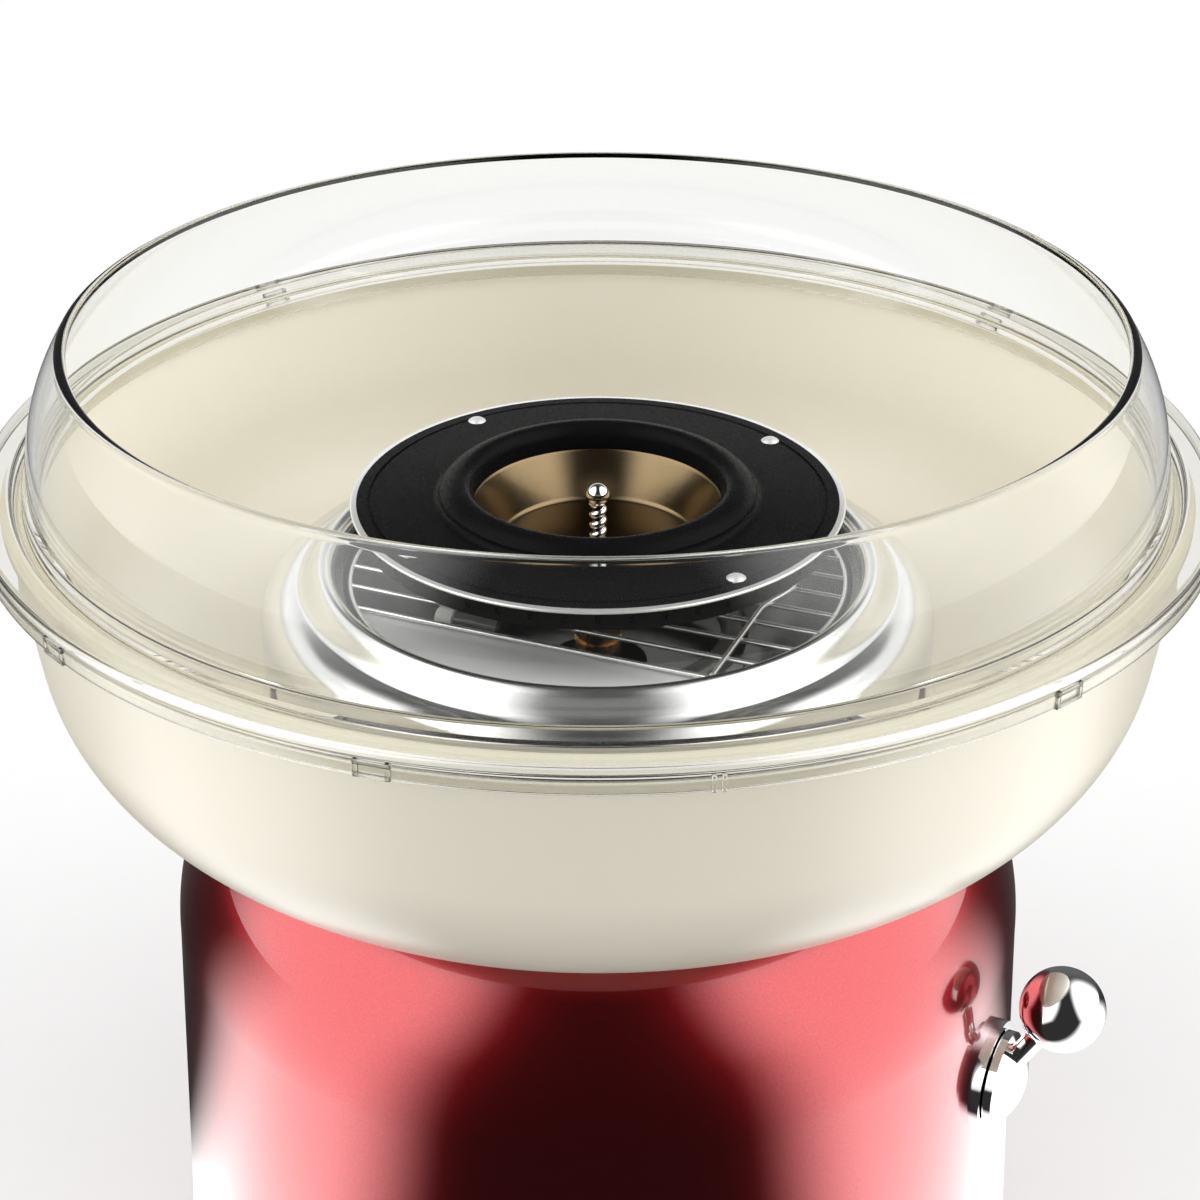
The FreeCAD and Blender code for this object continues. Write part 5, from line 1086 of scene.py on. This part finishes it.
def make_world():
    """White to the camera and straight on through clear parts, and a studio to all other rays."""
    world = bpy.data.worlds.new("studio")
    bpy.context.scene.world = world
    world.use_nodes = True
    tree = world.node_tree
    tree.nodes.clear()
    space = tree.nodes.new("ShaderNodeTexCoord")
    rays = tree.nodes.new("ShaderNodeLightPath")
    output = tree.nodes.new("ShaderNodeOutputWorld")
    soft = tree.nodes.new("ShaderNodeBackground")
    shine = tree.nodes.new("ShaderNodeBackground")
    white = tree.nodes.new("ShaderNodeBackground")
    for node in (soft, shine, white):
        node.inputs["Color"].default_value = (1.0, 1.0, 1.0, 1.0)
    generated = space.outputs["Generated"]
    for light, node in ((SOFT_LIGHT, soft), (SHINE_LIGHT, shine)):
        tree.links.new(studio_light(tree, generated, *light, WORLD_FADE), node.inputs["Strength"])
    scattered = maths(tree, "GREATER_THAN", rays.outputs["Diffuse Depth"], 0.5)
    gloss = tree.nodes.new("ShaderNodeMixShader")
    tree.links.new(scattered, gloss.inputs["Fac"])
    tree.links.new(shine.outputs["Background"], gloss.inputs[1])
    tree.links.new(soft.outputs["Background"], gloss.inputs[2])
    split = tree.nodes.new("ShaderNodeSeparateXYZ")
    tree.links.new(generated, split.inputs["Vector"])
    onward = smooth_step(tree, split.outputs["Y"], *ONWARD_FADE)
    through = maths(tree, "MULTIPLY", rays.outputs["Is Transmission Ray"], onward)
    held = maths(tree, "MULTIPLY", through, scattered)
    seen = maths(tree, "MAXIMUM", rays.outputs["Is Camera Ray"],
                 maths(tree, "SUBTRACT", through, held))
    mix = tree.nodes.new("ShaderNodeMixShader")
    tree.links.new(seen, mix.inputs["Fac"])
    tree.links.new(gloss.outputs["Shader"], mix.inputs[1])
    tree.links.new(white.outputs["Background"], mix.inputs[2])
    tree.links.new(mix.outputs["Shader"], output.inputs["Surface"])


def make_floor():
    """Pale floor: it keeps the machine's shadow, fades to white and mirrors as the studio."""
    half = FLOOR_HALF
    corners = [(-half, -half, 0), (half, -half, 0), (half, half, 0), (-half, half, 0)]
    floor = add_mesh("floor", corners, [(0, 1, 2, 3)])
    material, tree, shader = new_material("floor_paper")
    space = tree.nodes.new("ShaderNodeTexCoord")
    rays = tree.nodes.new("ShaderNodeLightPath")
    bounce = tree.nodes.new("ShaderNodeMixRGB")
    bounce.inputs["Color2"].default_value = (*FLOOR_BOUNCE, 1.0)
    tree.links.new(rays.outputs["Is Diffuse Ray"], bounce.inputs["Fac"])
    tree.links.new(ramp(tree, noise(tree, 90.0, 3.0), (0.90, 0.90, 0.90), (0.92, 0.92, 0.92)),
                   bounce.inputs["Color1"])
    tree.links.new(bounce.outputs["Color"], shader.inputs["Base Color"])
    shader.inputs["Roughness"].default_value = 0.8
    shader.inputs["Specular IOR Level"].default_value = 0.1
    distance = tree.nodes.new("ShaderNodeVectorMath")
    distance.operation = "LENGTH"
    tree.links.new(space.outputs["Object"], distance.inputs[0])
    far = smooth_step(tree, distance.outputs["Value"], *FLOOR_WHITE)
    mirror = mirrored(tree, rays)
    seen = seen_directly(tree, rays)
    white = tree.nodes.new("ShaderNodeEmission")
    white.inputs["Color"].default_value = (1.0, 1.0, 1.0, 1.0)
    fade = tree.nodes.new("ShaderNodeMixShader")
    tree.links.new(maths(tree, "MULTIPLY", far, seen), fade.inputs["Fac"])
    tree.links.new(shader.outputs["BSDF"], fade.inputs[1])
    tree.links.new(white.outputs["Emission"], fade.inputs[2])
    glow = tree.nodes.new("ShaderNodeEmission")
    tree.links.new(studio_light(tree, space.outputs["Object"], *SHINE_LIGHT, FLOOR_FADE),
                   glow.inputs["Strength"])
    mix = tree.nodes.new("ShaderNodeMixShader")
    tree.links.new(mirror, mix.inputs["Fac"])
    tree.links.new(fade.outputs["Shader"], mix.inputs[1])
    tree.links.new(glow.outputs["Emission"], mix.inputs[2])
    tree.links.new(mix.outputs["Shader"], tree.nodes["Material Output"].inputs["Surface"])
    floor.data.materials.append(material)


def softbox(name, place_m, size, power):
    """Large soft area lamp aimed at the machine, in metres and watts."""
    data = bpy.data.lights.new(name, "AREA")
    data.shape = "RECTANGLE"
    data.size, data.size_y = size
    data.energy = power
    lamp = bpy.data.objects.new(name, data)
    bpy.context.scene.collection.objects.link(lamp)
    aim = Vector(LAMP_AIM) - Vector(place_m)
    lamp.visible_camera = False
    lamp.visible_glossy = False
    lamp.visible_transmission = False
    turn = aim.to_track_quat("-Z", "Y").to_matrix().to_4x4()
    lamp.matrix_world = Matrix.Translation(place_m) @ turn


def make_lights():
    for lamp in LAMPS:
        softbox(*lamp)


def make_camera():
    """Camera at the photograph's angle."""
    data = bpy.data.cameras.new("camera")
    data.lens = CAMERA_LENS
    data.sensor_width = 36.0
    data.clip_start = 0.01
    camera = bpy.data.objects.new("camera", data)
    bpy.context.scene.collection.objects.link(camera)
    camera.location = CAMERA_PLACE
    camera.rotation_euler = (math.radians(CAMERA_TILT), 0.0, 0.0)
    bpy.context.scene.camera = camera


bpy.context.scene.view_settings.view_transform = "Standard"
make_world()
make_floor()
make_lights()
make_camera()
